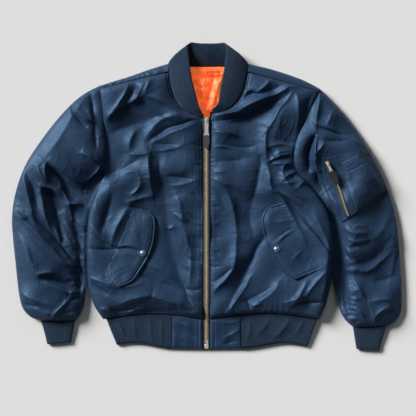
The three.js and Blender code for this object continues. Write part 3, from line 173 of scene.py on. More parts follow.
def build_wander():
    """A slow change over the surface, from 0 to 1, for colour and roughness."""
    group, source, sink = new_group("wander", {"Patches per metre": 9}, {"Amount": "NodeSocketFloat"})
    place = group.nodes.new("ShaderNodeTexCoord").outputs["Object"]
    noise = noise_node(group, place, source.outputs[0], 4.0, 0.6)
    group.links.new(noise.outputs["Fac"], sink.inputs["Amount"])
    return group


WEAVE = build_weave()
CRUMPLE = build_crumple()
WANDER = build_wander()


def place_group(tree, group, value=None):
    """An instance of a node group, with its first input set."""
    node = tree.nodes.new("ShaderNodeGroup")
    node.node_tree = group
    if value is not None:
        node.inputs[0].default_value = value
    return node.outputs[0]


# %% [markdown]
# A finish is one Principled BSDF. Its plain numbers sit on the shader's own sockets, and only
# what changes over the surface is linked: two close colours, roughness and bump.

# %% Finish builder
def finish(name, dark, light, roughness, sheen=0.0, metallic=0.0, specular=0.5, patches=9, contrast=1.0):
    """A material whose colour wanders between two values, and its node tree and shader."""
    material = bpy.data.materials.new(name)
    material.use_nodes = True
    tree = material.node_tree
    shader = tree.nodes["Principled BSDF"]
    shader.inputs["Metallic"].default_value = metallic
    shader.inputs["Specular IOR Level"].default_value = specular
    shader.inputs["Sheen Weight"].default_value = sheen
    shader.inputs["Sheen Roughness"].default_value = 0.45
    wander = place_group(tree, WANDER, patches)
    if contrast != 1:
        centred = math_node(tree, "MULTIPLY_ADD", wander, contrast)
        centred.node.inputs[2].default_value = (1 - contrast) / 2
        wander = math_node(tree, "MAXIMUM", math_node(tree, "MINIMUM", centred, 1.0), 0.0)
    mix = tree.nodes.new("ShaderNodeMix")
    mix.data_type = "RGBA"
    mix.inputs[6].default_value = (*dark, 1)
    mix.inputs[7].default_value = (*light, 1)
    tree.links.new(wander, mix.inputs[0])
    tree.links.new(mix.outputs[2], shader.inputs["Base Color"])
    spread = math_node(tree, "MULTIPLY", wander, 0.12)
    level = math_node(tree, "ADD", spread, roughness - 0.06)
    tree.links.new(level, shader.inputs["Roughness"])
    return material, tree, shader


def add_bump(tree, shader, height, distance, strength=1.0):
    """Chains one more Bump node in front of the shader's normal."""
    bump = tree.nodes.new("ShaderNodeBump")
    bump.inputs["Distance"].default_value = distance
    bump.inputs["Strength"].default_value = strength
    tree.links.new(height, bump.inputs["Height"])
    normal = shader.inputs["Normal"]
    if normal.is_linked:
        tree.links.new(normal.links[0].from_socket, bump.inputs["Normal"])
    tree.links.new(bump.outputs["Normal"], normal)


NAVY_DARK = (0.0125, 0.0270, 0.0570)
NAVY_LIGHT = (0.0170, 0.0355, 0.0735)
nylon, tree, shader = finish("navy nylon", NAVY_DARK, NAVY_LIGHT, 0.52, sheen=0.05, specular=0.46)
shader.inputs["Sheen Tint"].default_value = (0.35, 0.62, 1.0, 1)
shader.inputs["Specular Tint"].default_value = (0.36, 0.64, 1.0, 1)
add_bump(tree, shader, place_group(tree, CRUMPLE, 26), 0.0008, 0.2)
add_bump(tree, shader, place_group(tree, CRUMPLE, 58), 0.0005, 0.2)
add_bump(tree, shader, place_group(tree, WEAVE, 1500), 0.00008, 0.5)

# Painted glow: the lining's orange wanders in strong small patches, and the same colour also feeds the emission. The
# lining shines where the collar shades it, and the patches are painted light and shade that stand for small crumples.
lining_cloth, tree, shader = finish(
    "orange nylon", (0.72, 0.065, 0.014), (1.0, 0.200, 0.050), 0.45, specular=0.4, patches=75, contrast=2.2
)
# The lining's colour, reused as a painted glow.
dye_as_painted_glow = shader.inputs["Base Color"].links[0].from_socket
tree.links.new(dye_as_painted_glow, shader.inputs["Emission Color"])
shader.inputs["Emission Strength"].default_value = 0.56
add_bump(tree, shader, place_group(tree, CRUMPLE, 60), 0.0011, 0.4)
add_bump(tree, shader, place_group(tree, WEAVE, 1500), 0.00008, 0.5)

knit, tree, shader = finish(
    "navy rib knit", (0.0044, 0.0118, 0.0258), (0.0182, 0.0405, 0.0745), 0.88, sheen=0.3, specular=0.2, patches=260, contrast=2.4
)
shader.inputs["Sheen Tint"].default_value = (0.55, 0.75, 1.0, 1)
fur_place = tree.nodes.new("ShaderNodeTexCoord").outputs["Object"]
add_bump(tree, shader, noise_node(tree, fur_place, 420, 3.0).outputs["Fac"], 0.0016, 0.8)

tape_cloth, tree, shader = finish("zip tape", (0.005, 0.009, 0.018), (0.009, 0.016, 0.03), 0.8, sheen=0.2)
add_bump(tree, shader, place_group(tree, WEAVE, 900), 0.0002, 0.6)

thread, tree, shader = finish("navy thread", (0.018, 0.034, 0.07), (0.026, 0.05, 0.098), 0.5, sheen=0.2)
add_bump(tree, shader, place_group(tree, WEAVE, 3000), 0.0001, 0.5)

brass, tree, shader = finish(
    "aged brass", (0.58, 0.44, 0.25), (0.95, 0.84, 0.62), 0.5, metallic=0.7, patches=160
)
nickel, tree, shader = finish(
    "warm nickel", (0.80, 0.74, 0.60), (0.92, 0.88, 0.76), 0.38, metallic=0.7, patches=90
)
leather, tree, shader = finish("black leather", (0.008, 0.008, 0.009), (0.02, 0.02, 0.021), 0.55)
grain_place = tree.nodes.new("ShaderNodeTexCoord").outputs["Object"]
add_bump(tree, shader, noise_node(tree, grain_place, 900, 3.0).outputs["Fac"], 0.0003, 0.5)
grey_tab, tree, shader = finish("grey tab", (0.05, 0.052, 0.055), (0.085, 0.088, 0.092), 0.42, metallic=0.3)
grain_place = tree.nodes.new("ShaderNodeTexCoord").outputs["Object"]
add_bump(tree, shader, noise_node(tree, grain_place, 700, 3.0).outputs["Fac"], 0.0002, 0.5)
enamel, tree, shader = finish("navy enamel", (0.15, 0.22, 0.40), (0.19, 0.27, 0.47), 0.32, metallic=0.6, specular=1.0)
shader.inputs["Coat Weight"].default_value = 0.6
floor_paint, tree, shader = finish("pale surface", (0.715, 0.71, 0.70), (0.715, 0.71, 0.70), 0.95, patches=2)
print("finishes:", len(bpy.data.materials))


# %% [markdown]
# ## Tools for surfaces
# Every cloth piece is a grid of points worked out with numpy, in millimetres. A table gives
# the edges in a dozen rows, and a smooth curve through the rows gives all the points between.

# %% Curves and grids
def through(rows):
    """A curve through the rows of a table, for t from 0 to 1. Between two rows it is the cubic
    whose slope at each row is half the step from the row before to the row after."""
    rows = np.asarray(rows, float)
    slope = np.gradient(rows, axis=0)

    def at(t):
        place = np.clip(np.asarray(t, float), 0, 1) * (len(rows) - 1)
        first = np.minimum(place.astype(int), len(rows) - 2)
        f = (place - first).reshape(place.shape + (1,) * (rows.ndim - 1))
        return (
            (2 * f**3 - 3 * f**2 + 1) * rows[first]
            + (f**3 - 2 * f**2 + f) * slope[first]
            + (3 * f**2 - 2 * f**3) * rows[first + 1]
            + (f**3 - f**2) * slope[first + 1]
        )

    return at


def mix(a, b, share):
    """a where share is 0, b where it is 1."""
    return a + (b - a) * share


def ramp(value, low, high):
    """0 below low, 1 above high, with a smooth S between."""
    t = np.clip((value - low) / (high - low), 0, 1)
    return t * t * (3 - 2 * t)


def crowded(count):
    """Steps from 0 to 1 that crowd like a circle's towards both ends."""
    return (1 - np.cos(np.pi * np.arange(count + 1) / count)) / 2


def round_over(distance, radius, power=2):
    """Rise of a rounded edge: 0 at the edge, 1 from radius inwards."""
    left = 1 - np.clip(distance / radius, 0, 1)
    return (1 - left**power) ** (1 / power)


def gap(a, b):
    """Distance in plan between two sets of points."""
    return np.hypot(a[..., 0] - b[..., 0], a[..., 1] - b[..., 1])


def make_mesh(name, points, quads, polygons=(), finish_with=None, smooth=True):
    """A mesh object from points in millimetres, an array of quads and a few larger polygons."""
    mesh = bpy.data.meshes.new(name)
    points = np.asarray(points, float).reshape(-1, 3)
    quads = np.asarray(quads, int).reshape(-1, 4)
    loops = np.concatenate([quads.ravel(), *[np.asarray(p, int) for p in polygons]])
    sizes = np.concatenate([np.full(len(quads), 4), [len(p) for p in polygons]]).astype(int)
    mesh.vertices.add(len(points))
    mesh.vertices.foreach_set("co", (points * MM).ravel())
    mesh.loops.add(len(loops))
    mesh.loops.foreach_set("vertex_index", loops)
    mesh.polygons.add(len(sizes))
    mesh.polygons.foreach_set("loop_start", np.concatenate([[0], np.cumsum(sizes)[:-1]]))
    mesh.polygons.foreach_set("use_smooth", np.full(len(sizes), smooth))
    mesh.update(calc_edges=True)
    mesh.validate()
    obj = bpy.data.objects.new(name, mesh)
    bpy.context.scene.collection.objects.link(obj)
    if finish_with is not None:
        mesh.materials.append(finish_with)
    return obj


def grid_quads(rows, columns, wrap=False, start=0):
    """Quads of a grid of points, facing up when rows run along +Y and columns along +X."""
    index = np.arange(rows * columns).reshape(rows, columns) + start
    if wrap:
        index = np.concatenate([index, index[:, :1]], axis=1)
    a, b = index[:-1, :-1], index[:-1, 1:]
    c, d = index[1:, 1:], index[1:, :-1]
    return np.stack([a, b, c, d], axis=-1).reshape(-1, 4)


def face_out(obj):
    """Turns all faces round if the closed mesh is inside out."""
    import bmesh

    work = bmesh.new()
    work.from_mesh(obj.data)
    if work.calc_volume(signed=True) < 0:
        bmesh.ops.reverse_faces(work, faces=work.faces)
        work.to_mesh(obj.data)
    work.free()
    return obj


def closed_pad(name, top, under, finish_with):
    """A pad from the grid of its top. A rim goes straight down to the height under, and long
    strips from side to side close it below."""
    rows, columns = top.shape[:2]
    count = rows * columns
    index = np.arange(count).reshape(rows, columns)
    ring = np.concatenate([index[0], index[1:, -1], index[-1, -2::-1], index[-2:0:-1, 0]])
    low = top.reshape(-1, 3)[ring].copy()
    low[:, 2] = under
    below = count + np.arange(len(ring))
    rim = np.stack([ring, below, np.roll(below, -1), np.roll(ring, -1)], axis=-1)
    right = columns - 1 + np.arange(rows)
    left = np.concatenate([[0], len(ring) - 1 - np.arange(rows - 1)])
    strips = np.stack([below[left[:-1]], below[left[1:]], below[right[1:]], below[right[:-1]]], axis=-1)
    first = below[:columns]
    last = below[right[-1] : right[-1] + columns]
    quads = np.concatenate([grid_quads(rows, columns), rim, strips])
    obj = make_mesh(name, np.concatenate([top.reshape(-1, 3), low]), quads, [first[::-1], last[::-1]], finish_with)
    return face_out(obj)


def wear(obj, nodes, body="jacket"):
    """Rides obj on a body in place of its CAD nodes."""
    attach(obj, body)
    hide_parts(*nodes)
    return obj


# %% [markdown]
# Cloth is never even. Lattice noise, which is one random number at each corner of a square
# net with a smooth blend between, bends the folds a little and adds small unevenness.

# %% Noise and folds
def rumple(x, y, size, seed):
    """Lattice noise from -1 to 1 with a net of the given size in millimetres."""
    net = np.random.default_rng(seed).uniform(-1, 1, (64, 64))
    u, v = x / size + 31.7, y / size + 17.3
    i, j = np.floor(u).astype(int), np.floor(v).astype(int)
    fu, fv = u - i, v - j
    fu, fv = fu * fu * (3 - 2 * fu), fv * fv * (3 - 2 * fv)
    corner = lambda di, dj: net[(i + di) % 64, (j + dj) % 64]
    low = mix(corner(0, 0), corner(1, 0), fu)
    high = mix(corner(0, 1), corner(1, 1), fu)
    return mix(low, high, fv)


FOLD_LEGS = 7  # straight legs that stand for the bent line of a fold


def fold_height(folds, x, y, seed):
    """Height that a table of folds adds at plan points. Each fold runs from (x1, y1) past
    (xm, ym) to (x2, y2). Its crest is rise high and falls away exponentially over width, more
    slowly on its left side when lean is positive. A wide bell below it makes its flanks planes,
    and it fades towards both ends."""
    x = x + 2.4 * rumple(x, y, 38, seed) + 0.8 * rumple(x, y, 13, seed + 1)
    y = y + 2.4 * rumple(x, y, 38, seed + 2) + 0.8 * rumple(x, y, 13, seed + 3)
    height = np.zeros_like(x)
    for x1, y1, xm, ym, x2, y2, rise, width, lean in folds:
        t = np.linspace(0, 1, FOLD_LEGS + 1)
        lx = (1 - t) ** 2 * x1 + 2 * t * (1 - t) * xm + t**2 * x2
        ly = (1 - t) ** 2 * y1 + 2 * t * (1 - t) * ym + t**2 * y2
        reach = 5 * width
        near = (x > lx.min() - reach) & (x < lx.max() + reach)
        near &= (y > ly.min() - reach) & (y < ly.max() + reach)
        px, py = x[near], y[near]
        best = np.full(px.shape, 1e9)
        side = np.zeros(px.shape)
        along = np.zeros(px.shape)
        for leg in range(FOLD_LEGS):
            dx, dy = lx[leg + 1] - lx[leg], ly[leg + 1] - ly[leg]
            share = np.clip(((px - lx[leg]) * dx + (py - ly[leg]) * dy) / (dx * dx + dy * dy), 0, 1)
            off_x, off_y = px - lx[leg] - share * dx, py - ly[leg] - share * dy
            distance = np.hypot(off_x, off_y)
            closer = distance < best
            best = np.where(closer, distance, best)
            side = np.where(closer, np.sign(dx * off_y - dy * off_x), side)
            along = np.where(closer, (leg + share) / FOLD_LEGS, along)
        spread = width * (1 + lean * side)
        crest = 0.13 * width
        sharp = np.exp((crest - np.hypot(best, crest)) / (0.55 * spread))
        fall = 0.85 * sharp + 0.15 * np.exp(-((best / (1.4 * spread)) ** 2))
        height[near] += rise * fall * np.sin(np.pi * (0.04 + 0.92 * along)) ** 0.6
    return height


def surface_reader(points, cell=2.0):
    """A function that gives the height of a settled surface at plan points. The points are
    averaged into square cells, empty cells take their neighbours' mean, and reading blends
    the four cells around."""
    flat = points.reshape(-1, 3)
    low = flat[:, :2].min(0) - 8 * cell
    size = np.ceil((flat[:, :2].max(0) + 8 * cell - low) / cell).astype(int) + 1
    cells = np.floor((flat[:, :2] - low) / cell).astype(int)
    total = np.zeros(size)
    number = np.zeros(size)
    np.add.at(total, (cells[:, 0], cells[:, 1]), flat[:, 2])
    np.add.at(number, (cells[:, 0], cells[:, 1]), 1)
    height = np.where(number > 0, total / np.maximum(number, 1), 0)
    known = number > 0
    for _ in range(10):
        around = np.zeros(size)
        votes = np.zeros(size)
        for axis, step in ((0, 1), (0, -1), (1, 1), (1, -1)):
            around += np.roll(height * known, step, axis)
            votes += np.roll(known, step, axis)
        fill = ~known & (votes > 0)
        height[fill] = around[fill] / votes[fill]
        known = known | fill

    def read(x, y):
        u, v = (x - low[0]) / cell - 0.5, (y - low[1]) / cell - 0.5
        i = np.clip(np.floor(u).astype(int), 0, size[0] - 2)
        j = np.clip(np.floor(v).astype(int), 0, size[1] - 2)
        fu, fv = np.clip(u - i, 0, 1), np.clip(v - j, 0, 1)
        near = mix(height[i, j], height[i + 1, j], fu)
        far = mix(height[i, j + 1], height[i + 1, j + 1], fu)
        return mix(near, far, fv)

    return read


# %% [markdown]
# ## Letting the nylon wrinkle
# The listed folds alone look too tidy. Blender's cloth solver adds the rest: each panel is
# held along its seams and given a few per cent more cloth than its outline needs, as padded
# nylon has, and it buckles into creases that run out from the seams. The solver works at ten
# times the real size, where its stock settings suit, and all panels settle in the same frames.

# %% Cloth solver
SOLVER_SCALE = 0.01  # solver units for a millimetre
SETTLE_FRAMES = 90
waiting = {}


def lay_in_solver(name, grid, held, excess, stiffness, lift):
    """Queues a grid of points for the solver. held marks the sewn points, excess is the share
    of extra cloth and lift the pressure of the wadding below."""
    rows, columns = grid.shape[:2]
    mesh = bpy.data.meshes.new(name)
    mesh.from_pydata((grid.reshape(-1, 3) * SOLVER_SCALE).tolist(), [], grid_quads(rows, columns).tolist())
    obj = bpy.data.objects.new(name, mesh)
    bpy.context.scene.collection.objects.link(obj)
    sewn = obj.vertex_groups.new(name="sewn")
    sewn.add(np.flatnonzero(held.ravel()).tolist(), 1.0, "REPLACE")
    cloth = obj.modifiers.new("cloth", "CLOTH")
    cloth.settings.quality = 5
    cloth.settings.mass = 0.12
    cloth.settings.tension_stiffness = 12
    cloth.settings.compression_stiffness = 12
    cloth.settings.shear_stiffness = 8
    cloth.settings.bending_stiffness = stiffness
    cloth.settings.tension_damping = 8
    cloth.settings.compression_damping = 8
    cloth.settings.shear_damping = 8
    cloth.settings.bending_damping = 1.5
    cloth.settings.air_damping = 4
    cloth.settings.shrink_min = -excess
    cloth.settings.use_pressure = True
    cloth.settings.uniform_pressure_force = lift
    cloth.settings.vertex_group_mass = "sewn"
    cloth.settings.effector_weights.gravity = 0
    cloth.collision_settings.use_collision = False
    cloth.point_cache.frame_start = 1
    cloth.point_cache.frame_end = SETTLE_FRAMES
    waiting[name] = (obj, grid.shape)


def run_solver():
    """Steps all queued cloths together and gives back their settled grids in millimetres."""
    for number in range(1, SETTLE_FRAMES + 1):
        bpy.context.scene.frame_set(number)
    settled = {}
    graph = bpy.context.evaluated_depsgraph_get()
    for name, (obj, shape) in waiting.items():
        mesh = obj.evaluated_get(graph).to_mesh()
        points = np.empty(len(mesh.vertices) * 3)
        mesh.vertices.foreach_get("co", points)
        settled[name] = points.reshape(shape) / SOLVER_SCALE
    for obj, _ in waiting.values():
        bpy.data.objects.remove(obj)
    bpy.context.scene.frame_set(1)
    return settled


def finer(grid, rows, columns):
    """The same surface with more points: cubic curves down the columns, then the rows."""
    tall = through(grid)(np.linspace(0, 1, rows))
    wide = through(tall.transpose(1, 0, 2))(np.linspace(0, 1, columns))
    return wide.transpose(1, 0, 2)


# %% [markdown]
# ## The fronts
# Each front is one padded panel between the zip, the neckline, the shoulder seam, the
# armhole, the side seam and the hem. The tables repeat the outlines of the solids.

# %% Outlines of the fronts
ZIP_EDGE = 8.4
HEM = -295
FRONT_CROWN = 28
FRONT_UNDER = 11.4
SIDE_SEAM = {
    -1: [(-248, -295), (-270, -260), (-283, -215), (-287, -157), (-287, -100), (-282, -44), (-270, -4), (-256, 30)],
    1: [(272, -295), (287, -258), (299, -205), (304, -157), (304, -104), (294, -44), (272, -6), (239, 35)],
}
ARMHOLE = {
    -1: [(-256, 30), (-246, 52), (-242, 80), (-241, 116), (-245, 162), (-251, 218), (-257, 259)],
    1: [(239, 35), (217, 59), (209, 92), (216, 136), (233, 172), (252, 215), (270, 252)],
}
NECKLINE = {
    -1: [(-13, 190), (-49, 204), (-74, 232), (-86, 268), (-91, 299)],
    1: [(12, 198), (54, 210), (83, 241), (94, 275), (99, 299)],
}
ARMPIT_LEVEL = 44
CORNER = 8 / 14  # share of the armhole's height that is level with the top of the zip


def hem_seam(x):
    """Height in plan of the hem seam, pulled up by the rib between the zip and the side."""
    half = np.where(x < 0, 248, 272)
    share = np.clip((np.abs(x) - ZIP_EDGE) / (half - ZIP_EDGE), 0, 1)
    return HEM + 15 * np.sin(np.pi * share)


def front_plan(side, rows_low, rows_high, columns):
    """Plan grid of a front: rows from the hem to the shoulder, columns from the zip out."""
    t = np.arange(rows_low) / rows_low
    s = np.linspace(0, 1, rows_high)
    seam, arm, neck = (through(table[side]) for table in (SIDE_SEAM, ARMHOLE, NECKLINE))
    low_inner = np.stack([np.full(rows_low, side * ZIP_EDGE), mix(HEM, ARMPIT_LEVEL, t)], -1)
    top_x, top_y = NECKLINE[side][0]
    up = np.clip(s / CORNER, 0, 1)
    along_zip = np.stack([mix(side * ZIP_EDGE, top_x, up**2), mix(ARMPIT_LEVEL, top_y, up)], -1)
    along_neck = neck((s - CORNER) / (1 - CORNER))
    high_inner = np.where((s <= CORNER)[:, None], along_zip, along_neck)
    high_outer = arm((1 - np.cos(np.pi * s)) / 2) - [side * 0.3, 0]
    inner = np.concatenate([low_inner, high_inner])[:, None]
    outer = np.concatenate([seam(t), high_outer])[:, None]
    low = np.concatenate([1 - t, np.zeros(rows_high)])[:, None]
    u = 0.45 * crowded(columns - 1) + 0.55 * np.linspace(0, 1, columns)
    plan = mix(inner, outer, u[None, :, None])
    plan[..., 1] += (hem_seam(plan[..., 0]) - HEM) * low**3 + 0.3 * (low == 1)
    return plan


def front_base(plan, rows_low, rows_high):
    """Height of a front before its folds: the crown less what its rounded edges drop, the
    drops added as the sides of a right angle are. Also how far each point is from the edge,
    as a share of the band where the folds die out."""
    to_zip = gap(plan, plan[:, :1])
    to_side = gap(plan, plan[:, -1:])
    to_hem = gap(plan, plan[:1])
    to_top = gap(plan, plan[-1:])
    up = np.clip((np.arange(len(plan)) - rows_low) / (0.6 * rows_high), 0, 1)[:, None]
    side_edge = mix(19, 22, up**0.8)
    side_radius = mix(38, 30, up)
    drops = [
        7 * (1 - round_over(to_zip, 38)),
        (FRONT_CROWN - side_edge) * (1 - round_over(to_side, side_radius)),
        12 * (1 - round_over(to_hem, 36)),
        5 * (1 - round_over(to_top, 18)),
    ]
    inside = np.minimum.reduce([
        round_over(to_zip, 22),
        round_over(to_side, 30),
        round_over(to_hem, 22),
        round_over(to_top, 20),
    ])
    return FRONT_CROWN - np.sqrt(sum(d**2 for d in drops)), inside


# %% [markdown]
# The folds are read off the photograph one by one, each with its line, height, width and lean.

# %% Folds of the fronts
FRONT_FOLDS = {
    -1: [
        (-188, 270, -196, 228, -240, 185, 5, 11, 0.2),
        (-170, 268, -184, 235, -196, 205, -4, 11, 0),
        (-150, 274, -166, 244, -172, 222, 5, 10, 0),
        (-132, 292, -140, 262, -152, 244, 5, 12, 0),
        (-150, 244, -108, 234, -66, 198, 7, 20, 0.5),
        (-150, 244, -190, 226, -246, 180, 7, 20, -0.5),
        (-85, 196, -160, 186, -232, 150, -9, 26, 0),
        (-58, 196, -112, 192, -142, 148, 7, 18, 0),
        (-26, 183, -85, 173, -140, 134, -9, 11, 0),
        (-34, 170, -80, 160, -132, 132, 5, 12, 0),
        (-162, 168, -190, 134, -184, 106, 7, 18, -0.3),
        (-186, 106, -162, 98, -140, 102, 5, 8, 0),
        (-141, 102, -138, 52, -128, 2, 8, 14, -0.4),
        (-116, 96, -108, 40, -100, -20, -8, 20, 0),
        (-100, -20, -92, -110, -60, -214, -8, 20, 0),
        (-60, -200, -50, -232, -34, -262, -5, 14, 0),
        (-192, 58, -166, 66, -160, 44, 4, 9, 0),
        (-160, 48, -152, 18, -184, 2, 5, 10, 0),
        (-158, 96, -200, 64, -240, 44, -8, 24, 0),
        (-125, 126, -95, 128, -70, 122, -3, 9, 0),
        (-125, 106, -90, 110, -56, 120, 3, 7, 0.3),
        (-96, 46, -65, 54, -34, 38, -4, 10, 0),
        (-84, 26, -55, 30, -22, 40, 4, 12, 0),
        (-72, 4, -62, -24, -56, -62, 7, 20, 0.3),
        (-78, -38, -62, -54, -50, -62, 3, 7, 0),
        (-64, -62, -44, -104, -38, -136, 5, 12, 0.2),
        (-38, -130, -36, -172, -40, -212, 4, 12, 0),
        (-192, -14, -160, -4, -124, 2, 5, 12, 0),
        (-198, -24, -150, -24, -108, -52, -4, 9, 0),
        (-114, -60, -96, -86, -78, -70, 4, 7, 0),
        (-182, -16, -214, -60, -226, -116, 7, 17, 0.2),
        (-226, 4, -240, -50, -252, -84, -7, 18, 0),
        (-274, -70, -248, -100, -214, -119, 4, 7, -0.3),
        (-264, -92, -238, -114, -216, -124, -4, 7, 0),
        (-279, -122, -240, -129, -214, -124, -4, 6, 0),
        (-212, -124, -186, -124, -160, -134, -4, 6, 0),
        (-214, -120, -186, -117, -160, -126, 3, 7, 0.3),
        (-276, -196, -242, -204, -214, -215, 4, 9, 0),
        (-246, -212, -196, -226, -148, -204, 5, 14, 0),
        (-277, -206, -252, -226, -234, -238, -5, 9, 0),
        (-150, -158, -110, -172, -68, -208, 4, 12, 0.2),
        (-166, -190, -120, -198, -58, -232, -4, 12, 0),
        (-215, -264, -160, -236, -130, -240, 7, 16, 0.5),
        (-132, -240, -100, -246, -56, -264, 7, 16, 0.5),
        (-236, -272, -150, -272, -40, -276, -7, 16, 0),
        (-256, -270, -236, -266, -214, -280, 4, 7, 0),
        (-186, -279, -162, -268, -146, -266, 4, 6, 0),
        (-70, -262, -50, -275, -28, -283, 4, 8, 0),
        (-250, 196, -242, 130, -238, 60, -7, 20, 0),
        (-256, 256, -252, 226, -247, 190, 4, 9, 0),
        (-46, -58, -30, -72, -13, -77, -3, 5, 0.3),
        (-42, -146, -28, -157, -12, -159, -4, 5, 0.3),
        (-60, -168, -32, -190, -12, -199, -3, 6, 0.3),
        (-46, -222, -28, -227, -13, -222, -4, 6, 0),
        (-46, -236, -28, -246, -13, -256, -3, 6, 0.3),
        (-38, 12, -24, 3, -13, -5, -2, 5, 0.3),
        (-42, -40, -28, -55, -13, -60, -3, 5, 0.3),
        (-34, -94, -22, -104, -12, -106, -2, 4, 0.3),
        (-34, -118, -22, -124, -12, -128, -2, 4, 0.3),
        (-34, 80, -22, 72, -12, 70, -2, 5, 0.3),
        (-40, 130, -26, 120, -12, 116, -2, 5, 0.3),
    ],
    1: [
        (149, 121, 180, 132, 208, 118, 4, 5, 0),
        (149, 83, 180, 104, 208, 100, 4.5, 5, 0.3),
        (159, 76, 194, 86, 215, 62, 5, 5, 0),
        (180, 34, 194, 58, 236, 62, 5, 6, 0.3),
        (180, 30, 222, 41, 262, 27, 4, 6, 0),
        (156, 16, 194, 6, 229, -22, 5, 7, 0.3),
        (208, 118, 222, 104, 215, 76, 4, 5, 0),
        (16, 163, 44, 162, 72, 146, 3.5, 5, 0.3),
        (20, 118, 60, 124, 88, 104, 3, 5, 0.3),
        (86, 236, 98, 264, 120, 252, 5, 6, 0),
        (92, 234, 108, 254, 128, 242, -5, 8, 0),
        (118, 252, 134, 258, 152, 278, 4, 8, -0.3),
        (126, 246, 146, 254, 178, 264, -6, 14, 0),
        (58, 202, 135, 230, 206, 264, 8, 14, 0.3),
        (206, 264, 228, 276, 244, 280, 4, 10, 0),
        (48, 176, 128, 186, 206, 250, -12, 22, 0),
        (208, 252, 168, 204, 146, 160, 7, 15, -0.5),
        (212, 250, 226, 214, 214, 158, 6, 13, 0),
        (192, 216, 170, 190, 166, 148, 5, 20, 0),
        (146, 162, 137, 130, 148, 62, 8, 15, -0.3),
        (150, 64, 151, 34, 158, 14, 5, 10, 0),
        (166, 142, 188, 126, 218, 124, -6, 14, 0),
        (156, 90, 176, 114, 200, 108, 4, 9, 0),
        (150, 116, 160, 104, 172, 96, -4, 9, 0),
        (182, 58, 184, 86, 212, 78, 5, 8, 0),
        (182, 60, 184, 36, 216, 14, 5, 8, 0),
        (196, 66, 204, 44, 226, 34, -4, 10, 0),
        (206, 78, 226, 66, 242, 60, -8, 12, 0),
        (208, 88, 236, 56, 276, 30, -6, 10, 0),
        (186, 34, 200, 10, 240, -10, 4, 10, 0.2),
        (214, 20, 232, 34, 240, 48, 4, 10, 0),
        (162, 26, 200, -10, 256, -68, -9, 20, 0),
        (156, 16, 178, 2, 190, -18, 4, 7, 0),
        (184, -4, 208, -50, 240, -112, 6, 10, 0),
        (222, -52, 260, -90, 292, -141, 6, 13, -0.3),
        (240, -60, 274, -98, 298, -138, -5, 10, 0),
        (256, -40, 276, -80, 302, -142, 4, 10, 0),
        (132, 104, 126, 50, 106, -24, -8, 22, 0),
        (106, -24, 100, -60, 112, -96, -5, 20, 0),
        (142, -92, 106, -150, 58, -256, -10, 20, 0),
        (42, 18, 74, -30, 71, -92, 8, 16, -0.2),
        (71, -90, 73, -140, 62, -176, 7, 13, 0),
        (63, -174, 46, -200, 18, -226, 6, 12, 0),
        (20, -204, 44, -190, 58, -172, -4, 10, 0),
        (105, -192, 86, -230, 50, -277, 6, 9, 0.4),
        (176, -204, 164, -230, 118, -258, 7, 13, 0.3),
        (166, -216, 130, -240, 88, -252, -6, 14, 0),
        (242, -204, 226, -235, 198, -264, 5, 9, 0.3),
        (282, -184, 250, -214, 240, -238, 5, 9, 0.3),
        (204, -262, 234, -246, 252, -256, -5, 8, 0),
        (244, -258, 262, -251, 278, -256, -4, 6, 0),
        (288, -100, 294, -190, 270, -258, 7, 22, 0),
        (186, -256, 215, -240, 240, -238, 4, 10, 0),
        (112, -268, 122, -256, 132, -262, 3, 6, 0),
        (96, -250, 100, -262, 108, -274, -4, 6, 0),
        (18, 192, 52, 202, 92, 206, 5, 9, 0),
        (18, 182, 58, 184, 92, 196, -4, 8, 0),
        (16, 156, 46, 152, 78, 147, 4, 12, 0),
        (38, 128, 72, 110, 114, 120, -5, 10, 0.3),
        (20, 86, 60, 80, 112, 94, -4, 11, 0.3),
        (20, 42, 36, 32, 58, 26, 3, 8, 0),
        (16, 18, 34, 2, 46, -22, -3, 10, 0),
        (14, 60, 26, 56, 44, 62, 2, 6, 0),
        (14, -20, 22, -28, 30, -26, -2, 5, 0),
        (14, -60, 24, -72, 30, -60, 2, 6, 0),
        (14, -96, 22, -100, 30, -98, -2, 5, 0),
        (13, -130, 22, -138, 32, -136, -2, 5, 0),
        (13, -166, 22, -172, 34, -168, -2, 5, 0),
        (250, 240, 232, 200, 236, 160, -5, 12, 0),
    ],
}

# %% Lay out the fronts
COARSE = (34, 27, 29)  # rows below and above the armpit, columns


def front_start(side):
    """A front's points with its crowned height but no folds yet, and the mask of its sewn edges."""
    rows_low, rows_high, columns = COARSE
    plan = front_plan(side, rows_low, rows_high, columns)
    height, _ = front_base(plan, rows_low, rows_high)
    held = np.ones(height.shape, bool)
    held[1:-1, 1:-1] = False
    return np.concatenate([plan, height[..., None]], -1), held


settled = {}
for side, word in ((-1, "right"), (1, "left")):
    settled[f"front_{word}"], held = front_start(side)
    lay_in_solver(f"front_{word}", settled[f"front_{word}"], held, excess=0.02, stiffness=15.0, lift=0.02)
print("front grid:", settled["front_left"].shape)

# %% [markdown]
# ## The sleeves
# A sleeve is a flattened tube, set in at the armhole and gathered into its cuff. Its stations
# run across it: over the top from the outer edge to the inner edge, and back underneath. The
# inner edge lies along the side of the body until the two part near the hem.

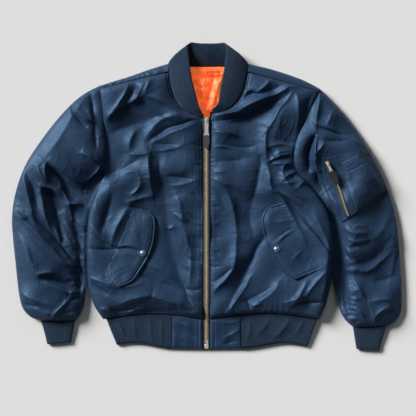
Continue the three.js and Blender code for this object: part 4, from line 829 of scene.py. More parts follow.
# %% Outlines of the sleeves
SLEEVE = {
    -1: [
        (-258, 265.5, -256, 30, 27, 0, 11.6),
        (-285, 252, -259, 23, 30, 0, 12),
        (-315, 231, -263, 16, 32, 0, 12),
        (-345, 201, -268, 7, 33, 0, 12),
        (-376, 164, -272, -4, 33, 0, 12),
        (-404, 126, -277, -18, 33, 0, 12),
        (-431, 84, -284, -35, 32, 0, 12),
        (-450, 40, -288, -56, 32, 0, 12),
        (-463, -8, -290, -80, 32, 0, 12),
        (-468, -56, -291, -109, 32, 0, 12),
        (-465, -104, -291, -140, 31, 0, 12),
        (-460, -152, -291, -172, 31, 0, 12),
        (-455, -200, -291, -203, 31, 0, 12),
        (-450, -239, -292, -239, 30, 0, 12),
        (-442, -268, -297, -268, 28, 0, 11),
        (-425, -288, -306, -288, 23, 0.5, 9.5),
        (-400, -298, -316, -298, 15, 2.5, 8),
    ],
    1: [
        (272.5, 258.5, 239, 35, 27, 0, 11.6),
        (294, 238, 246, 29, 30, 0, 12),
        (321, 210, 253, 23, 32, 0, 12),
        (347, 176, 261, 16, 32, 0, 12),
        (373, 140, 270, 6, 32, 0, 12),
        (397, 102, 279, -6, 32, 0, 12),
        (418, 61, 289, -23, 32, 0, 12),
        (434, 20, 298, -44, 32, 0, 12),
        (448, -23, 305, -71, 31, 0, 12),
        (457, -66, 308.5, -100, 31, 0, 12),
        (462, -109, 309, -128, 31, 0, 12),
        (465, -157, 309, -162, 31, 0, 12),
        (468, -205, 309, -203, 31, 0, 12),
        (469, -248, 313, -244, 30, 0, 12),
        (467, -277, 322, -275, 28, 0, 11),
        (454, -300, 334, -297, 23, 0.5, 9.5),
        (433, -313, 351, -313, 15, 2.5, 8),
    ],
}
SEAM_LEVEL = 12
SHOULDER_TIP = {-1: (-258, 265.5), 1: (272.5, 258.5)}
SLEEVE_LEAN = {-1: 0.0, 1: 1.3}
EDGE_WALL = 7  # mm of wadding between the sleeve's edge and its slit
SLIT_DROP = 0.55  # share of the slit's height at which the emptied sleeve closes

# %% [markdown]
# The folds of the sleeves, again from the photograph. On the real jacket they come from the
# arm's bend: they start as a fan at the armpit and close up into rings above the cuff.

# %% Folds of the sleeves
SLEEVE_FOLDS = {
    -1: [
        (-296, 238, -334, 164, -386, 88, 6, 34, -0.2),
        (-322, 226, -323, 208, -312, 194, -4, 7, 0),
        (-318, 202, -300, 180, -284, 164, -6, 10, 0),
        (-316, 210, -292, 186, -270, 178, 5, 10, 0),
        (-286, 208, -269, 192, -269, 160, 5, 9, 0),
        (-278, 244, -270, 190, -262, 118, -7, 14, 0),
        (-300, 105, -276, 98, -255, 76, 6, 10, 0.3),
        (-244, 60, -260, 40, -292, 16, -15, 12, 0),
        (-253, 74, -264, 54, -294, 31, 5, 7, 0),
        (-266, 32, -274, 12, -288, -16, -11, 14, 0),
        (-372, 14, -360, -40, -342, -110, -7, 16, 0),
        (-352, 30, -330, 0, -322, -60, 4, 9, 0.3),
        (-340, -60, -322, -84, -300, -96, 4, 8, 0.3),
        (-336, -96, -320, -120, -306, -126, 4, 8, 0),
        (-382, 85, -345, 62, -294, 27, 8, 17, 0.4),
        (-380, 78, -345, 42, -304, -2, -11, 14, 0),
        (-402, 70, -394, 48, -380, 34, 5, 9, 0),
        (-382, 82, -386, 56, -379, 36, 4, 7, 0),
        (-403, 29, -372, 16, -344, 2, 6, 11, 0.3),
        (-394, 20, -366, -6, -344, -36, -9, 18, 0),
        (-346, 24, -332, 6, -310, -7, -9, 11, 0),
        (-440, 54, -427, 0, -408, -68, 8, 18, 0.2),
        (-430, 58, -414, 22, -404, -28, -3, 10, 0),
        (-400, 26, -390, -30, -374, -82, 7, 15, 0),
        (-464, -34, -446, -58, -430, -50, 5, 8, 0),
        (-450, -48, -396, -92, -344, -150, 7, 12, 0),
        (-352, -146, -330, -170, -303, -168, 4, 9, 0),
        (-414, -50, -366, -90, -318, -152, -9, 10, 0),
        (-440, -76, -408, -132, -340, -176, 3, 18, 0),
        (-446, -96, -420, -150, -400, -186, 6, 20, 0),
        (-404, -188, -386, -176, -364, -183, 5, 9, 0),
        (-398, -194, -360, -198, -318, -224, -8, 18, 0),
        (-384, -204, -350, -224, -316, -233, 5, 10, 0),
        (-326, -222, -318, -232, -308, -226, 4, 6, 0),
        (-324, -20, -310, -90, -302, -150, -10, 18, 0),
        (-304, -150, -302, -190, -304, -226, -9, 16, 0),
        (-364, -74, -352, -96, -352, -114, 4, 9, 0),
        (-352, -112, -336, -140, -318, -160, 4, 9, 0),
        (-318, -100, -308, -120, -302, -138, 4, 9, 0),
        (-372, -296, -348, -266, -324, -240, 3, 6, 0),
        (-444, -232, -412, -244, -368, -262, 4, 12, 0),
        (-434, -256, -402, -264, -374, -277, -4, 12, 0),
        (-410, -262, -390, -280, -372, -284, 4, 9, 0),
        (-292, 18, -282, 0, -264, 4, 5, 8, 0),
        (-302, 2, -282, -14, -262, -18, -8, 13, 0),
        (-340, -18, -320, -12, -296, -22, 5, 9, 0),
        (-326, -52, -304, -66, -292, -80, 4, 9, 0),
    ],
    1: [
        (274, 252, 263, 204, 259, 158, 8, 13, 0),
        (258, 173, 286, 168, 312, 152, 4, 6, 0.3),
        (262, 166, 300, 152, 330, 144, -3, 9, 0),
        (262, 134, 300, 128, 342, 134, -4, 10, 0),
        (326, 142, 345, 136, 366, 126, 3, 8, 0),
        (258, 144, 240, 112, 244, 66, -22, 10, 0),
        (262, 60, 268, 36, 284, 14, -12, 14, 0),
        (296, -20, 308, -50, 316, -92, -9, 14, 0),
        (262, 146, 256, 112, 262, 84, 7, 6, -0.4),
        (278, 130, 270, 106, 254, 100, 4, 8, 0),
        (250, 102, 262, 58, 292, 14, 7, 12, 0),
        (292, 14, 306, -10, 320, -46, 5, 10, 0),
        (280, 226, 318, 196, 350, 152, 4, 26, 0),
        (300, 200, 292, 180, 288, 170, 3, 9, 0),
        (322, -70, 346, -92, 388, -84, 6, 14, 0),
        (324, -98, 350, -110, 388, -102, 4, 11, 0),
        (350, -74, 366, -62, 384, -76, 3, 9, 0),
        (346, -114, 372, -122, 398, -104, -3, 12, 0),
        (344, -168, 388, -204, 442, -128, 5, 16, 0.4),
        (350, -158, 402, -170, 434, -104, -4, 24, 0),
        (322, -112, 338, -130, 360, -150, 5, 8, 0),
        (326, -128, 338, -142, 352, -156, -4, 6, 0),
        (320, -96, 324, -190, 340, -280, -21, 20, 0),
        (312, -50, 314, -150, 322, -270, -14, 14, 0),
        (332, -172, 344, -180, 356, -178, 3, 7, 0.2),
        (340, -212, 352, -226, 364, -224, 3.5, 8, -0.2),
        (350, -196, 366, -224, 390, -264, 5, 9, 0.3),
        (374, -232, 390, -262, 399, -292, -6, 11, 0),
        (384, -250, 398, -282, 402, -302, 5, 9, 0),
        (402, -288, 420, -264, 442, -262, 6, 11, 0),
        (394, -250, 416, -244, 438, -246, 4, 9, 0),
        (352, -268, 364, -276, 378, -292, 4, 8, 0),
        (440, -204, 454, -150, 456, -76, 4, 18, 0),
        (400, -206, 426, -204, 452, -190, -4, 14, 0),
        (392, -106, 420, -90, 440, -40, 4, 22, 0),
        (404, 88, 426, 40, 442, -6, 3, 18, 0),
    ],
}


def side_of_body(y, side):
    """x of the side seam of the body at a height in plan."""
    seam = through(SIDE_SEAM[side])(np.linspace(0, 1, 400))
    return np.interp(y, seam[:, 1], seam[:, 0])


def sleeve_stations(side, s):
    """Edges of the sleeve and the numbers of its stations, for s from 0 to 1."""
    row = through(SLEEVE[side])(s)
    outer, inner = row[:, :2], row[:, 2:4].copy()
    beside = side_of_body(inner[:, 1], side) + side * 0.8
    parting = ramp(-inner[:, 1], 175, 235)
    inner[1:, 0] = mix(beside, inner[:, 0], parting)[1:]
    return outer, inner, row[:, 4], row[:, 5], row[:, 6]


def sleeve_plan(side, s, across, inset=0.0):
    """Plan points of the sleeve. The first stations bow like the armhole, and the bow is gone
    a quarter of the way down."""
    outer, inner, *_ = sleeve_stations(side, s)
    share = across[None, :, None]
    if inset:
        edge = inset / gap(outer, inner)
        share = edge[:, None, None] + (1 - 2 * edge[:, None, None]) * share
    plan = mix(outer[:, None], inner[:, None], share)
    straight = mix(outer[0], inner[0], across[:, None])
    bow = through([*ARMHOLE[side][:-1], SHOULDER_TIP[side]])(1 - across) - straight
    fade = (np.clip(1 - 4.2 * s, 0, 1) ** 2)[:, None, None]
    return plan + fade * (bow + [side * 0.3, 0])


def sleeve_top(side, s, across):
    """Points of the upper side of a sleeve: a broad crown that drops steeply to the edges. Below
    the elbow its highest line leans towards the body by SLEEVE_LEAN, which is nought for the right sleeve."""
    plan = sleeve_plan(side, s, across)
    outer, inner, top, under, _ = sleeve_stations(side, s)
    seam = np.minimum(SEAM_LEVEL, (top + under) / 2)[:, None]
    lean = 1 + SLEEVE_LEAN[side] * ramp(s, 0.3, 0.55)[:, None]
    crown = (1 - np.abs(2 * across[None] ** lean - 1) ** 2.1) ** (1 / 1.65)
    height = seam + (top[:, None] + 2 - seam) * crown
    return np.concatenate([plan, np.maximum(height, seam)[..., None]], -1)


SLEEVE_COARSE = (60, 22)
for side, word in ((-1, "right"), (1, "left")):
    s, across = np.linspace(0, 1, SLEEVE_COARSE[0]), crowded(SLEEVE_COARSE[1] - 1)
    across = 0.4 * across + 0.6 * np.linspace(0, 1, SLEEVE_COARSE[1])
    grid = sleeve_top(side, s, across)
    held = np.ones(grid.shape[:2], bool)
    held[1:-1, 1:-1] = False
    settled[f"sleeve_{word}"] = grid
    lay_in_solver(f"sleeve_{word}", grid, held, excess=0.02, stiffness=15.0, lift=0.02)

# %% [markdown]
# Now all four panels settle together. How far a point may move is capped, so that no panel
# leaves the room that its solid holds.

# %% Settle
MOVE_CAP = 9.0  # mm


def capped(start, end):
    """The end points, with each point's move bent towards a limit by a hyperbolic tangent."""
    move = end - start
    length = np.linalg.norm(move, axis=-1, keepdims=True)
    return start + move * MOVE_CAP * np.tanh(length / MOVE_CAP) / np.maximum(length, 1e-6)


def eased(grid, start):
    """The settled points with the ripples of single net cells taken out: each inner point's
    move becomes a quarter, a half and a quarter of its neighbours', along rows and columns."""
    move = grid - start
    for _ in range(2):
        for axis in (0, 1):
            ahead, behind = np.roll(move, -1, axis), np.roll(move, 1, axis)
            soft = 0.5 * move + 0.25 * (ahead + behind)
            soft[[0, -1]], soft[:, [0, -1]] = move[[0, -1]], move[:, [0, -1]]
            move = soft
    return start + move


for name, grid in run_solver().items():
    move = np.linalg.norm(grid - settled[name], axis=-1)
    print(name, "moved mm: most", move.max().round(1), "mean", move.mean().round(1))
    settled[name] = capped(settled[name], eased(grid, settled[name]))

# %% [markdown]
# Stitching draws the cloth in. Close to each seam the panel has small puckers that run
# straight away from it and die out within a few centimetres.

# %% Puckers
def puckers(along, away, pitch, depth, reach, seed):
    """Small ripples along a seam: a sine over the length, its phase and strength wandering,
    that fades over reach away from the seam."""
    phase = 2 * np.pi * along / pitch + 5 * rumple(along, away * 0.5, 3 * pitch, seed)
    strength = np.maximum(0.15 + 0.85 * rumple(along, away * 0.2, 3 * pitch, seed + 1), 0)
    fade = np.exp(-away / reach) * ramp(away, 0, 3)
    return depth * strength * fade * np.sin(phase)


def run_length(line):
    """Length along a line of points, from its first point."""
    steps = np.linalg.norm(np.diff(line, axis=0), axis=-1)
    return np.concatenate([[0], np.cumsum(steps)])


FOLD_SCALE = 1.3
SLEEVE_FOLD_SCALE = {-1: 1.7, 1: 1.35}


def seam_line(distance, at, depth):
    """The narrow ditch that a row of stitches pulls into padded cloth."""
    return depth * np.exp(-(((distance - at) / 1.7) ** 2))


def no_lower(height, limit, soft=2.5):
    """Heights that ease to a lowest level instead of crossing it: a softened maximum."""
    return limit + soft * np.logaddexp(0, (height - limit) / soft)


def waviness(x, y, seed):
    """Slow swelling of the wadding, and faint creases where a second noise crosses zero."""
    slow = 2.3 * rumple(x, y, 58, seed) + 0.9 * rumple(x, y, 27, seed + 1)
    warped = rumple(x + 9 * rumple(x, y, 33, seed + 2), y + 9 * rumple(x, y, 29, seed + 3), 21, seed + 4)
    crease = np.exp(-np.abs(warped) / 0.12) * (0.5 + 0.5 * rumple(x, y, 47, seed + 5))
    finer_warp = rumple(x + 5 * rumple(x, y, 17, seed + 6), y + 5 * rumple(x, y, 15, seed + 7), 11, seed + 8)
    small = np.exp(-np.abs(finer_warp) / 0.16) * np.maximum(rumple(x, y, 39, seed + 9), 0)
    return slow + 1.0 * crease + 0.9 * small


# %% Finer fronts
panel_tops = {}
FRONT_FINE = (380, 176)
for side, word in ((-1, "right"), (1, "left")):
    fine = finer(settled[f"front_{word}"], *FRONT_FINE)
    x, y = fine[..., 0], fine[..., 1]
    to_zip, to_hem = gap(fine, fine[:, :1]), gap(fine, fine[:1])
    to_top, to_side = gap(fine, fine[-1:]), gap(fine, fine[:, -1:])
    inside = np.minimum(round_over(to_zip, 14), round_over(to_side, 16))
    inside = np.minimum(inside, np.minimum(round_over(to_hem, 14), round_over(to_top, 14)))
    fine[..., 2] += inside * (FOLD_SCALE * fold_height(FRONT_FOLDS[side], x, y, 40 + side) + waviness(x, y, 200 + side))
    fine[..., 2] -= seam_line(to_zip, 6.0, 0.9) + seam_line(to_hem, 3.0, 0.8)
    fine[..., 2] -= seam_line(to_top, 2.2, 0.4) + seam_line(to_top, 7.0, 0.5)
    neck = through(NECKLINE[side])(np.linspace(0, 1, 60))
    to_neck = np.full(x.shape, 99.0)
    for point in neck:
        to_neck = np.minimum(to_neck, np.hypot(x - point[0], y - point[1]))
    fine[..., 2] -= seam_line(to_neck, 5.5, 0.9)
    fine[..., 2] += puckers(y, to_zip, 12, 0.9, 9, 5 + side)
    fine[..., 2] += puckers(x, to_hem, 14, 1.5, 14, 15 + side)
    fine[..., 2] += puckers(x, to_top, 15, 0.6, 12, 25 + side)
    fine[..., 2] += puckers(y, to_side, 17, 0.6, 12, 35 + side)
    fine[..., 2] = no_lower(fine[..., 2], 13.5)
    panel_tops[f"front_{word}"] = fine
    shell = closed_pad(f"shell_front_{word}", fine, FRONT_UNDER, nylon)
    wear(shell, [f"front_{word}"])


# %% [markdown]
# Behind the zip each front has a facing, the folded lining that the tapes are sewn to.

# %% Facings behind the zip
def zip_height(y):
    """Height of the middle of the zip: level on the fronts, then down over the hem."""
    down = np.clip((np.asarray(y, float) + 367) / 68, 0, 1)
    return mix(7 + 4.5 * down, 23, ramp(y, -299, -251))


def solid_between(name, over, under, finish_with, wrap=False):
    """A closed mesh between two grids of the same shape. With wrap, the last column joins the
    first and only the two ends are closed."""
    rows, columns = over.shape[:2]
    count = rows * columns
    quads = [grid_quads(rows, columns, wrap), grid_quads(rows, columns, wrap, count)[:, ::-1]]
    index = np.arange(count).reshape(rows, columns)
    ends = [index[0], index[-1]] if wrap else []
    if wrap:
        for line, turn in ((index[0], 1), (index[-1], -1)):
            ahead = np.roll(line, -1)
            edge = np.stack([line, line + count, ahead + count, ahead], -1)
            quads.append(edge[:, ::turn])
    else:
        ring = np.concatenate([index[0], index[1:, -1], index[-1, -2::-1], index[-2:0:-1, 0]])
        ahead = np.roll(ring, -1)
        quads.append(np.stack([ring, ring + count, ahead + count, ahead], -1))
    points = np.concatenate([over.reshape(-1, 3), under.reshape(-1, 3)])
    return face_out(make_mesh(name, points, np.concatenate(quads), (), finish_with))


for side, word in ((-1, "right"), (1, "left")):
    level = np.linspace(-276, 188, 60)
    span = np.linspace(0.3, 12.0, 5)
    x, y = np.meshgrid(side * span, level)
    over = np.stack([x, y, np.maximum(zip_height(y) - 2.8, FRONT_UNDER + 1)], -1)
    under = np.stack([x, y, np.full_like(x, FRONT_UNDER)], -1)
    facing = solid_between(f"facing_{word}", over, under, nylon)
    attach(facing, "jacket")

# %% [markdown]
# The sleeves close into tubes: the settled top, a flatter underside on the table, and inside
# a narrow slit where the two lined layers lie on each other.

# %% Finer sleeves
SLEEVE_FINE = (320, 136)
UNDER_COLUMNS = 42
ARMHOLE_DITCH = {-1: 4.5, 1: 2.5}
DRAWN_SEAM = {-1: -318, 1: 350}  # x of the under-arm seam, where the cloth is drawn up
for side, word in ((-1, "right"), (1, "left")):
    rows, columns = SLEEVE_FINE
    top = finer(settled[f"sleeve_{word}"], rows, columns)
    s = np.linspace(0, 1, rows)
    to_arm, to_cuff = gap(top, top[:1]), gap(top, top[-1:])
    to_edge = np.minimum(gap(top, top[:, :1]), gap(top, top[:, -1:]))
    place = run_length(top[:, columns // 2])[:, None] + 0 * to_arm
    crosswise = gap(top, top[:, :1])
    inside = round_over(np.minimum(to_edge, np.minimum(to_arm, to_cuff)), 14)
    x, y = top[..., 0], top[..., 1]
    folds = SLEEVE_FOLD_SCALE[side] * fold_height(SLEEVE_FOLDS[side], x, y, 60 + side)
    drawn = 2.6 * np.exp(-(((x - DRAWN_SEAM[side]) / 15) ** 2)) * ramp(-y, 90, 130)
    drawn = drawn * rumple(0.5 * x + 0.5 * y, y - 0.2 * x, 9, 220 + side)
    top[..., 2] += inside * (folds + drawn + waviness(x, y, 210 + side))
    top[..., 2] -= ARMHOLE_DITCH[side] * np.exp(-to_arm / 7) * ramp(to_edge, 0, 30)
    top[..., 2] += puckers(crosswise, to_arm, 16, 0.7, 12, 70 + side)
    top[..., 2] += puckers(crosswise, to_cuff, 12, 1.5, 14, 75 + side)
    top[..., 2] += puckers(place, to_edge, 19, 0.7, 12, 80 + side)
    lowest = mix(SEAM_LEVEL, 10.0, np.clip(to_edge / 8, 0, 1)) - 2.5 * ramp(s, 0.9, 1.0)[:, None]
    top[..., 2] = np.where(to_edge > 0.01, no_lower(top[..., 2], lowest, 1.2 * ramp(to_edge, 0, 8) + 0.01), top[..., 2])
    panel_tops[f"sleeve_{word}"] = top
    outer, inner, high, low, slit = sleeve_stations(side, s)
    back_across = crowded(UNDER_COLUMNS + 1)[1:-1]
    below = sleeve_plan(side, s, back_across)
    seam = np.minimum(SEAM_LEVEL, (high + low) / 2)[:, None]
    flat = (1 - np.abs(2 * back_across - 1) ** 7) ** 0.25
    z = mix(seam, low[:, None], flat)
    soft = 1.6 * (1 + rumple(below[..., 0], below[..., 1], 46, 90 + side)) * flat
    below = np.concatenate([below, np.minimum(z + soft, seam)[..., None]], -1)
    ring = np.concatenate([top, below[:, ::-1]], 1)
    few = np.linspace(0, 1, 24)
    both = np.concatenate([np.linspace(0, 1, columns), back_across[::-1]])
    inside = sleeve_plan(side, few, both, EDGE_WALL)
    *_, slit = sleeve_stations(side, few)
    gap_side = np.where(np.arange(both.size) < columns, 0.8, -0.8)
    inside = np.concatenate([inside, (SLIT_DROP * slit[:, None] + gap_side[None])[..., None]], -1)
    count, width = ring.shape[0] * ring.shape[1], ring.shape[1]
    first = np.arange(width)
    starts = {"arm": (first, first + count), "cuff": (first + (rows - 1) * width, first + count + 23 * width)}
    quads = [grid_quads(rows, width, True), grid_quads(24, width, True, count)[:, ::-1]]
    for (line, mate), turn in zip(starts.values(), (1, -1)):
        quads.append(np.stack([line, mate, np.roll(mate, -1), np.roll(line, -1)], -1)[:, ::turn])
    points = np.concatenate([ring.reshape(-1, 3), inside.reshape(-1, 3)])
    tube = face_out(make_mesh(f"shell_sleeve_{word}", points, np.concatenate(quads), (), nylon))
    wear(tube, [f"sleeve_{word}"])


# %% [markdown]
# ## The back
# The back panel lies under everything, flat on the table with a few shallow waves, and its
# yoke comes up over each shoulder to the seam on the front.

# %% Back
SHOULDER = {
    -1: [(-258, 266), (-220, 278), (-184, 289), (-136, 306), (-93, 319)],
    1: [(273, 259), (239, 277), (200, 292), (152, 307), (101, 319)],
}
BACK_WALL = 11
ROWS_LOW, ROWS_HIGH, BACK_COLUMNS = 54, 46, 112

right_edge = front_plan(-1, ROWS_LOW, ROWS_HIGH, 3)[:, -1]
left_edge = front_plan(1, ROWS_LOW, ROWS_HIGH, 3)[:, -1]
u = 0.45 * crowded(BACK_COLUMNS - 1) + 0.55 * np.linspace(0, 1, BACK_COLUMNS)
neck_share = np.clip((u - 0.3) / 0.4, 0, 1)
neck_line = np.stack([mix(-93, 101, neck_share), 319 - 9.5 * np.sin(np.pi * neck_share) ** 0.6], -1)
top_line = np.where((u < 0.3)[:, None], through(SHOULDER[-1])(u / 0.3), neck_line)
top_line = np.where((u > 0.7)[:, None], through(SHOULDER[1])((1 - u) / 0.3), top_line)
plan = mix(right_edge[:, None], left_edge[:, None], u[None, :, None])
straight_top = mix(right_edge[-1], left_edge[-1], u[:, None])
up = np.concatenate([np.zeros(ROWS_LOW), np.linspace(0, 1, ROWS_HIGH)])[:, None]
low = np.concatenate([1 - np.arange(ROWS_LOW) / ROWS_LOW, np.zeros(ROWS_HIGH)])[:, None]
plan[..., 1] += (hem_seam(plan[..., 0]) - HEM) * low**3
plan += (up**3)[..., None] * (top_line - straight_top)
to_side = np.minimum(gap(plan, plan[:, :1]), gap(plan, plan[:, -1:]))
to_hem, to_top = gap(plan, plan[:1]), gap(plan, plan[-1:])
beyond_neck = np.abs(plan[..., 0] - 4) > 95
lift = [9 * (1 - round_over(to_side, 15)), 4 * (1 - round_over(to_hem, 12))]
lift.append(np.where(beyond_neck, 8 * (1 - round_over(to_top, 14)), 0))
x, y = plan[..., 0], plan[..., 1]
waves = 1.3 * (1 + rumple(x, y * 0.5, 60, 101)) + 0.5 * (1 + rumple(x, y, 21, 102))
calm = round_over(np.minimum(np.minimum(to_side, to_hem), to_top), 26)
under = np.minimum(np.sqrt(sum(part**2 for part in lift)) + waves * calm, BACK_WALL - 2)
over = np.concatenate([plan, np.full((*x.shape, 1), BACK_WALL)], -1)
back = solid_between("shell_back", over, np.concatenate([plan, under[..., None]], -1), nylon)
wear(back, ["back"])

# %% [markdown]
# The yoke strips are quarter rounds from the outline up to the shoulder seam, with gathers.

# %% Shoulder strips
for side, word in ((-1, "right"), (1, "left")):
    along, turns = 130, 18
    seam = panel_tops[f"front_{word}"][-1][::-1, :2]
    outline = through(SHOULDER[side])(0.005 + 0.993 * np.linspace(0, 1, along))
    high = through(seam)(np.linspace(0, 1, along))
    out = outline - high
    reach = np.linalg.norm(out, axis=-1, keepdims=True)
    high = high + out / reach * 0.3
    angle = np.linspace(0, np.pi / 2, turns)
    share = (1 - np.cos(angle))[None, :, None]
    outside = mix(outline[:, None], high[:, None], share)
    inset = np.minimum(3, 0.3 * reach)
    within = mix((outline - out / reach * inset)[:, None], high[:, None], share)
    z = 8.5 + 16 * np.sin(angle)[None] + 0 * outside[..., 0]
    length = run_length(high)[:, None]
    from_seam = gap(outside, outside[:, -1:])
    z += puckers(length + 0 * z, from_seam, 19, 1.9, 18, 110 + side)
    over = np.concatenate([outside, z[..., None]], -1)
    under = np.concatenate([within, np.full((*z.shape, 1), 8.0)], -1)
    strip = solid_between(f"shell_yoke_{word}", over, under, nylon)
    wear(strip, ["back"])

# %% [markdown]
# ## The rib knit
# Collar, cuffs and hem band are rib knit: a springy cloth of fine lengthwise ridges. The
# ridges are real geometry, a wave across the surface on both faces, four points to a rib.

# %% Knit bands
RIB_PITCH = 2.2
RIB_DEPTH = 0.32


def normals_of(grid):
    """Unit normals of a grid of points, from the steps to its neighbours."""
    down, across = np.gradient(grid, axis=0), np.gradient(grid, axis=1)
    normal = np.cross(across, down)
    return normal / np.maximum(np.linalg.norm(normal, axis=-1, keepdims=True), 1e-9)


def knit_band(name, middle, wall, nodes, wrap=False):
    """A knitted band from the grid of its middle surface. Both faces stand half the wall off,
    and every second point stands out or in by half a rib."""
    normal = normals_of(middle)
    wave = RIB_DEPTH * np.array([0, 1, 0, -1])[np.arange(middle.shape[1]) % 4] / 2
    reach = (wall / 2 + wave)[None, :, None]
    band = solid_between(name, middle + normal * reach, middle - normal * reach, knit, wrap)
    return wear(band, nodes)


COLLAR = [
    (-13, 195, 23.5, -10.5, 201, 27),
    (-27, 198.6, 24, -17, 213, 32),
    (-47, 208, 24, -22, 231, 36),
    (-61, 219.5, 24, -26, 246, 38),
    (-70, 234, 24, -30, 262, 39.5),
    (-78, 254, 24, -34.5, 280, 40),
    (-82.5, 273, 23.5, -38.5, 303, 40),
    (-86, 292, 22.5, -41.5, 332, 39.5),
    (-90.4, 307, 20.5, -43.8, 351, 38),
    (-91, 315.5, 17.5, -41.6, 362.4, 36),
    (-81, 315.5, 14.6, -35, 367.4, 34),
    (-66, 313.5, 13.6, -28, 367, 33),
    (-36, 311, 13.4, -15, 366, 32.5),
    (3, 310, 13.4, 2, 365.6, 32.5),
    (42, 311, 13.4, 20, 366, 32.5),
    (73, 313.5, 13.6, 33, 367.2, 33),
    (89, 315.5, 14.6, 39, 368, 34),
    (98.6, 315.5, 17.5, 45.6, 363, 36),
    (98.2, 307, 20.5, 48.2, 352, 38),
    (93.6, 292, 22.5, 46, 334, 39.5),
    (90.4, 275, 23.5, 42, 306, 40),
    (86, 259, 24, 38, 284, 40),
    (79.4, 244, 24, 34, 265, 39.5),
    (68.5, 229, 24, 32, 248, 38),
    (52, 213.8, 24, 30, 233, 36),
    (32, 206.6, 24, 25, 219, 32),
    (14, 203, 23.5, 13, 208, 27),
]
COLLAR_WALL = 3.4
COLLAR_BOW = 3.5
COLLAR_SEAT = 1.6


def seat_on_rim(points, rim):
    """Points moved to the nearest place on a rim, and from there a seat's width inwards."""
    start, span = rim[:-1], np.diff(rim, axis=0)
    away = points[:, None] - start[None]
    share = np.clip((away * span).sum(-1) / (span**2).sum(-1), 0, 1)
    on = start[None] + share[..., None] * span[None]
    best = np.argmin(np.linalg.norm(points[:, None] - on, axis=-1), 1)
    place = on[np.arange(len(points)), best]
    along = span[best] / np.linalg.norm(span[best], axis=-1, keepdims=True)
    inward = np.stack([along[:, 1], -along[:, 0]], -1)
    return place + inward * COLLAR_SEAT * (1 if rim[0, 0] < 0 else -1)


collar_rows = np.array(COLLAR)
on_front = collar_rows[:, 2] > 22
flatter = ramp(collar_rows[:, 0], 20, 60)
collar_rows[:, 5] -= 6 * flatter
for side, word in ((-1, "right"), (1, "left")):
    neck_rim = through(NECKLINE[side])(np.linspace(0, 1, 40))
    chosen = on_front & (np.sign(collar_rows[:, 0]) == side)
    collar_rows[chosen, :2] = seat_on_rim(collar_rows[chosen, :2], neck_rim)
COLLAR_COLUMNS = 4 * 270 + 1
t = np.linspace(0, 1, COLLAR_COLUMNS)
collar_line = through(collar_rows)(t)
v = np.linspace(0, 1, 13)[:, None, None]
middle = mix(collar_line[None, :, :3], collar_line[None, :, 3:], v)
swell = 3.5 * np.sin(np.pi * v[..., 0]) * np.minimum(1, 6 * np.minimum(t, 1 - t))[None]
corner = np.exp(-(((collar_line[:, 1] - 313) / 12) ** 2)) * np.tanh(collar_line[:, 0] / 30)
bow = np.sin(np.pi * v[..., 0] ** 0.7) * corner[None]
middle[..., 0] += COLLAR_BOW * bow
middle[..., 1] += COLLAR_BOW * np.abs(bow)
middle[..., 2] += swell + 0.8 * rumple(middle[..., 0], middle[..., 1], 30, 120) * np.sin(np.pi * v[..., 0])
collar = knit_band("knit_collar", middle, COLLAR_WALL, ["collar"])

# %% Cuffs
CUFF = {
    -1: [
        (-399, -298.6, -317, -298.6, 13, 3.4),
        (-393, -318, -320, -316, 12, 2.4),
        (-388, -338, -323, -334, 10.6, 1),
        (-384, -356, -326, -350, 9.6, 0),
    ],
    1: [
        (432, -313.6, 352, -313.6, 13, 3.4),
        (427, -332, 355, -331, 12, 2.4),
        (421, -352, 358, -350, 10.6, 1),
        (417, -370, 361, -367, 9.6, 0),
    ],
}
RIB_WALL = 3
for side, word in ((-1, "right"), (1, "left")):
    row = through(CUFF[side])(np.linspace(0, 1, 15))
    half = 36 * 2
    t = np.linspace(0, 1, half + 1)
    edge = (RIB_WALL / 2 + 0.2) / gap(row[:, :2], row[:, 2:4])[:, None]
    share = edge + (1 - 2 * edge) * t[None]
    plan = mix(row[:, None, :2], row[:, None, 2:4], share[..., None])
    centre = (row[:, 4] + row[:, 5])[:, None] / 2
    room = (row[:, 4] - row[:, 5])[:, None] / 2 - RIB_WALL / 2
    rise = room * (1 - np.abs(2 * t - 1) ** 4) ** 0.5
    upper = np.concatenate([plan, (centre + rise)[..., None]], -1)
    lower = np.concatenate([plan, (centre - rise)[..., None]], -1)[:, -2:0:-1]
    ring = np.concatenate([upper, lower], 1)
    ring = np.concatenate([ring, ring[:, :1]], 1)
    steps = np.linalg.norm(np.diff(ring, axis=1), axis=-1)
    cuff_length = steps.sum(1).mean()
    length = np.concatenate([np.zeros((15, 1)), np.cumsum(steps, 1)], 1) / steps.sum(1)[:, None]
    ribs = 4 * round(cuff_length / RIB_PITCH)
    even = np.linspace(0, 1, ribs + 1)[:-1]
    ring = np.stack([[np.interp(even, length[r], ring[r, :, k]) for k in range(3)] for r in range(15)])
    ring = ring.transpose(0, 2, 1)
    down = np.gradient(ring, axis=0)
    ahead = np.roll(ring, -1, 1) - np.roll(ring, 1, 1)
    normal = np.cross(ahead, down)
    normal /= np.linalg.norm(normal, axis=-1, keepdims=True)
    reach = (RIB_WALL / 2 + RIB_DEPTH * np.array([0, 1, 0, -1])[np.arange(ribs) % 4] / 2)[None, :, None]
    cuff = solid_between(f"knit_cuff_{word}", ring + normal * reach, ring - normal * reach, knit, True)
    wear(cuff, [f"cuff_{word}"])

# %% [markdown]
# The hem band runs in one piece from one woven end, round the side, across the back and
# round to the other woven end, in two layers on the table.

# %% Hem band
WOVEN_END = 84
FOLD_RADIUS = 2.4


def hem_foot(x):
    """Plan height of the free edge of the hem, drawn up a little at each side."""
    return -367 + 15 * np.exp(-(((np.abs(x - 6) - 182) / 62) ** 2))


def hem_level(v):
    """Height of the middle between the two layers of the hem, at v from the seam to the edge."""
    return mix(8.4, 3.9, v)


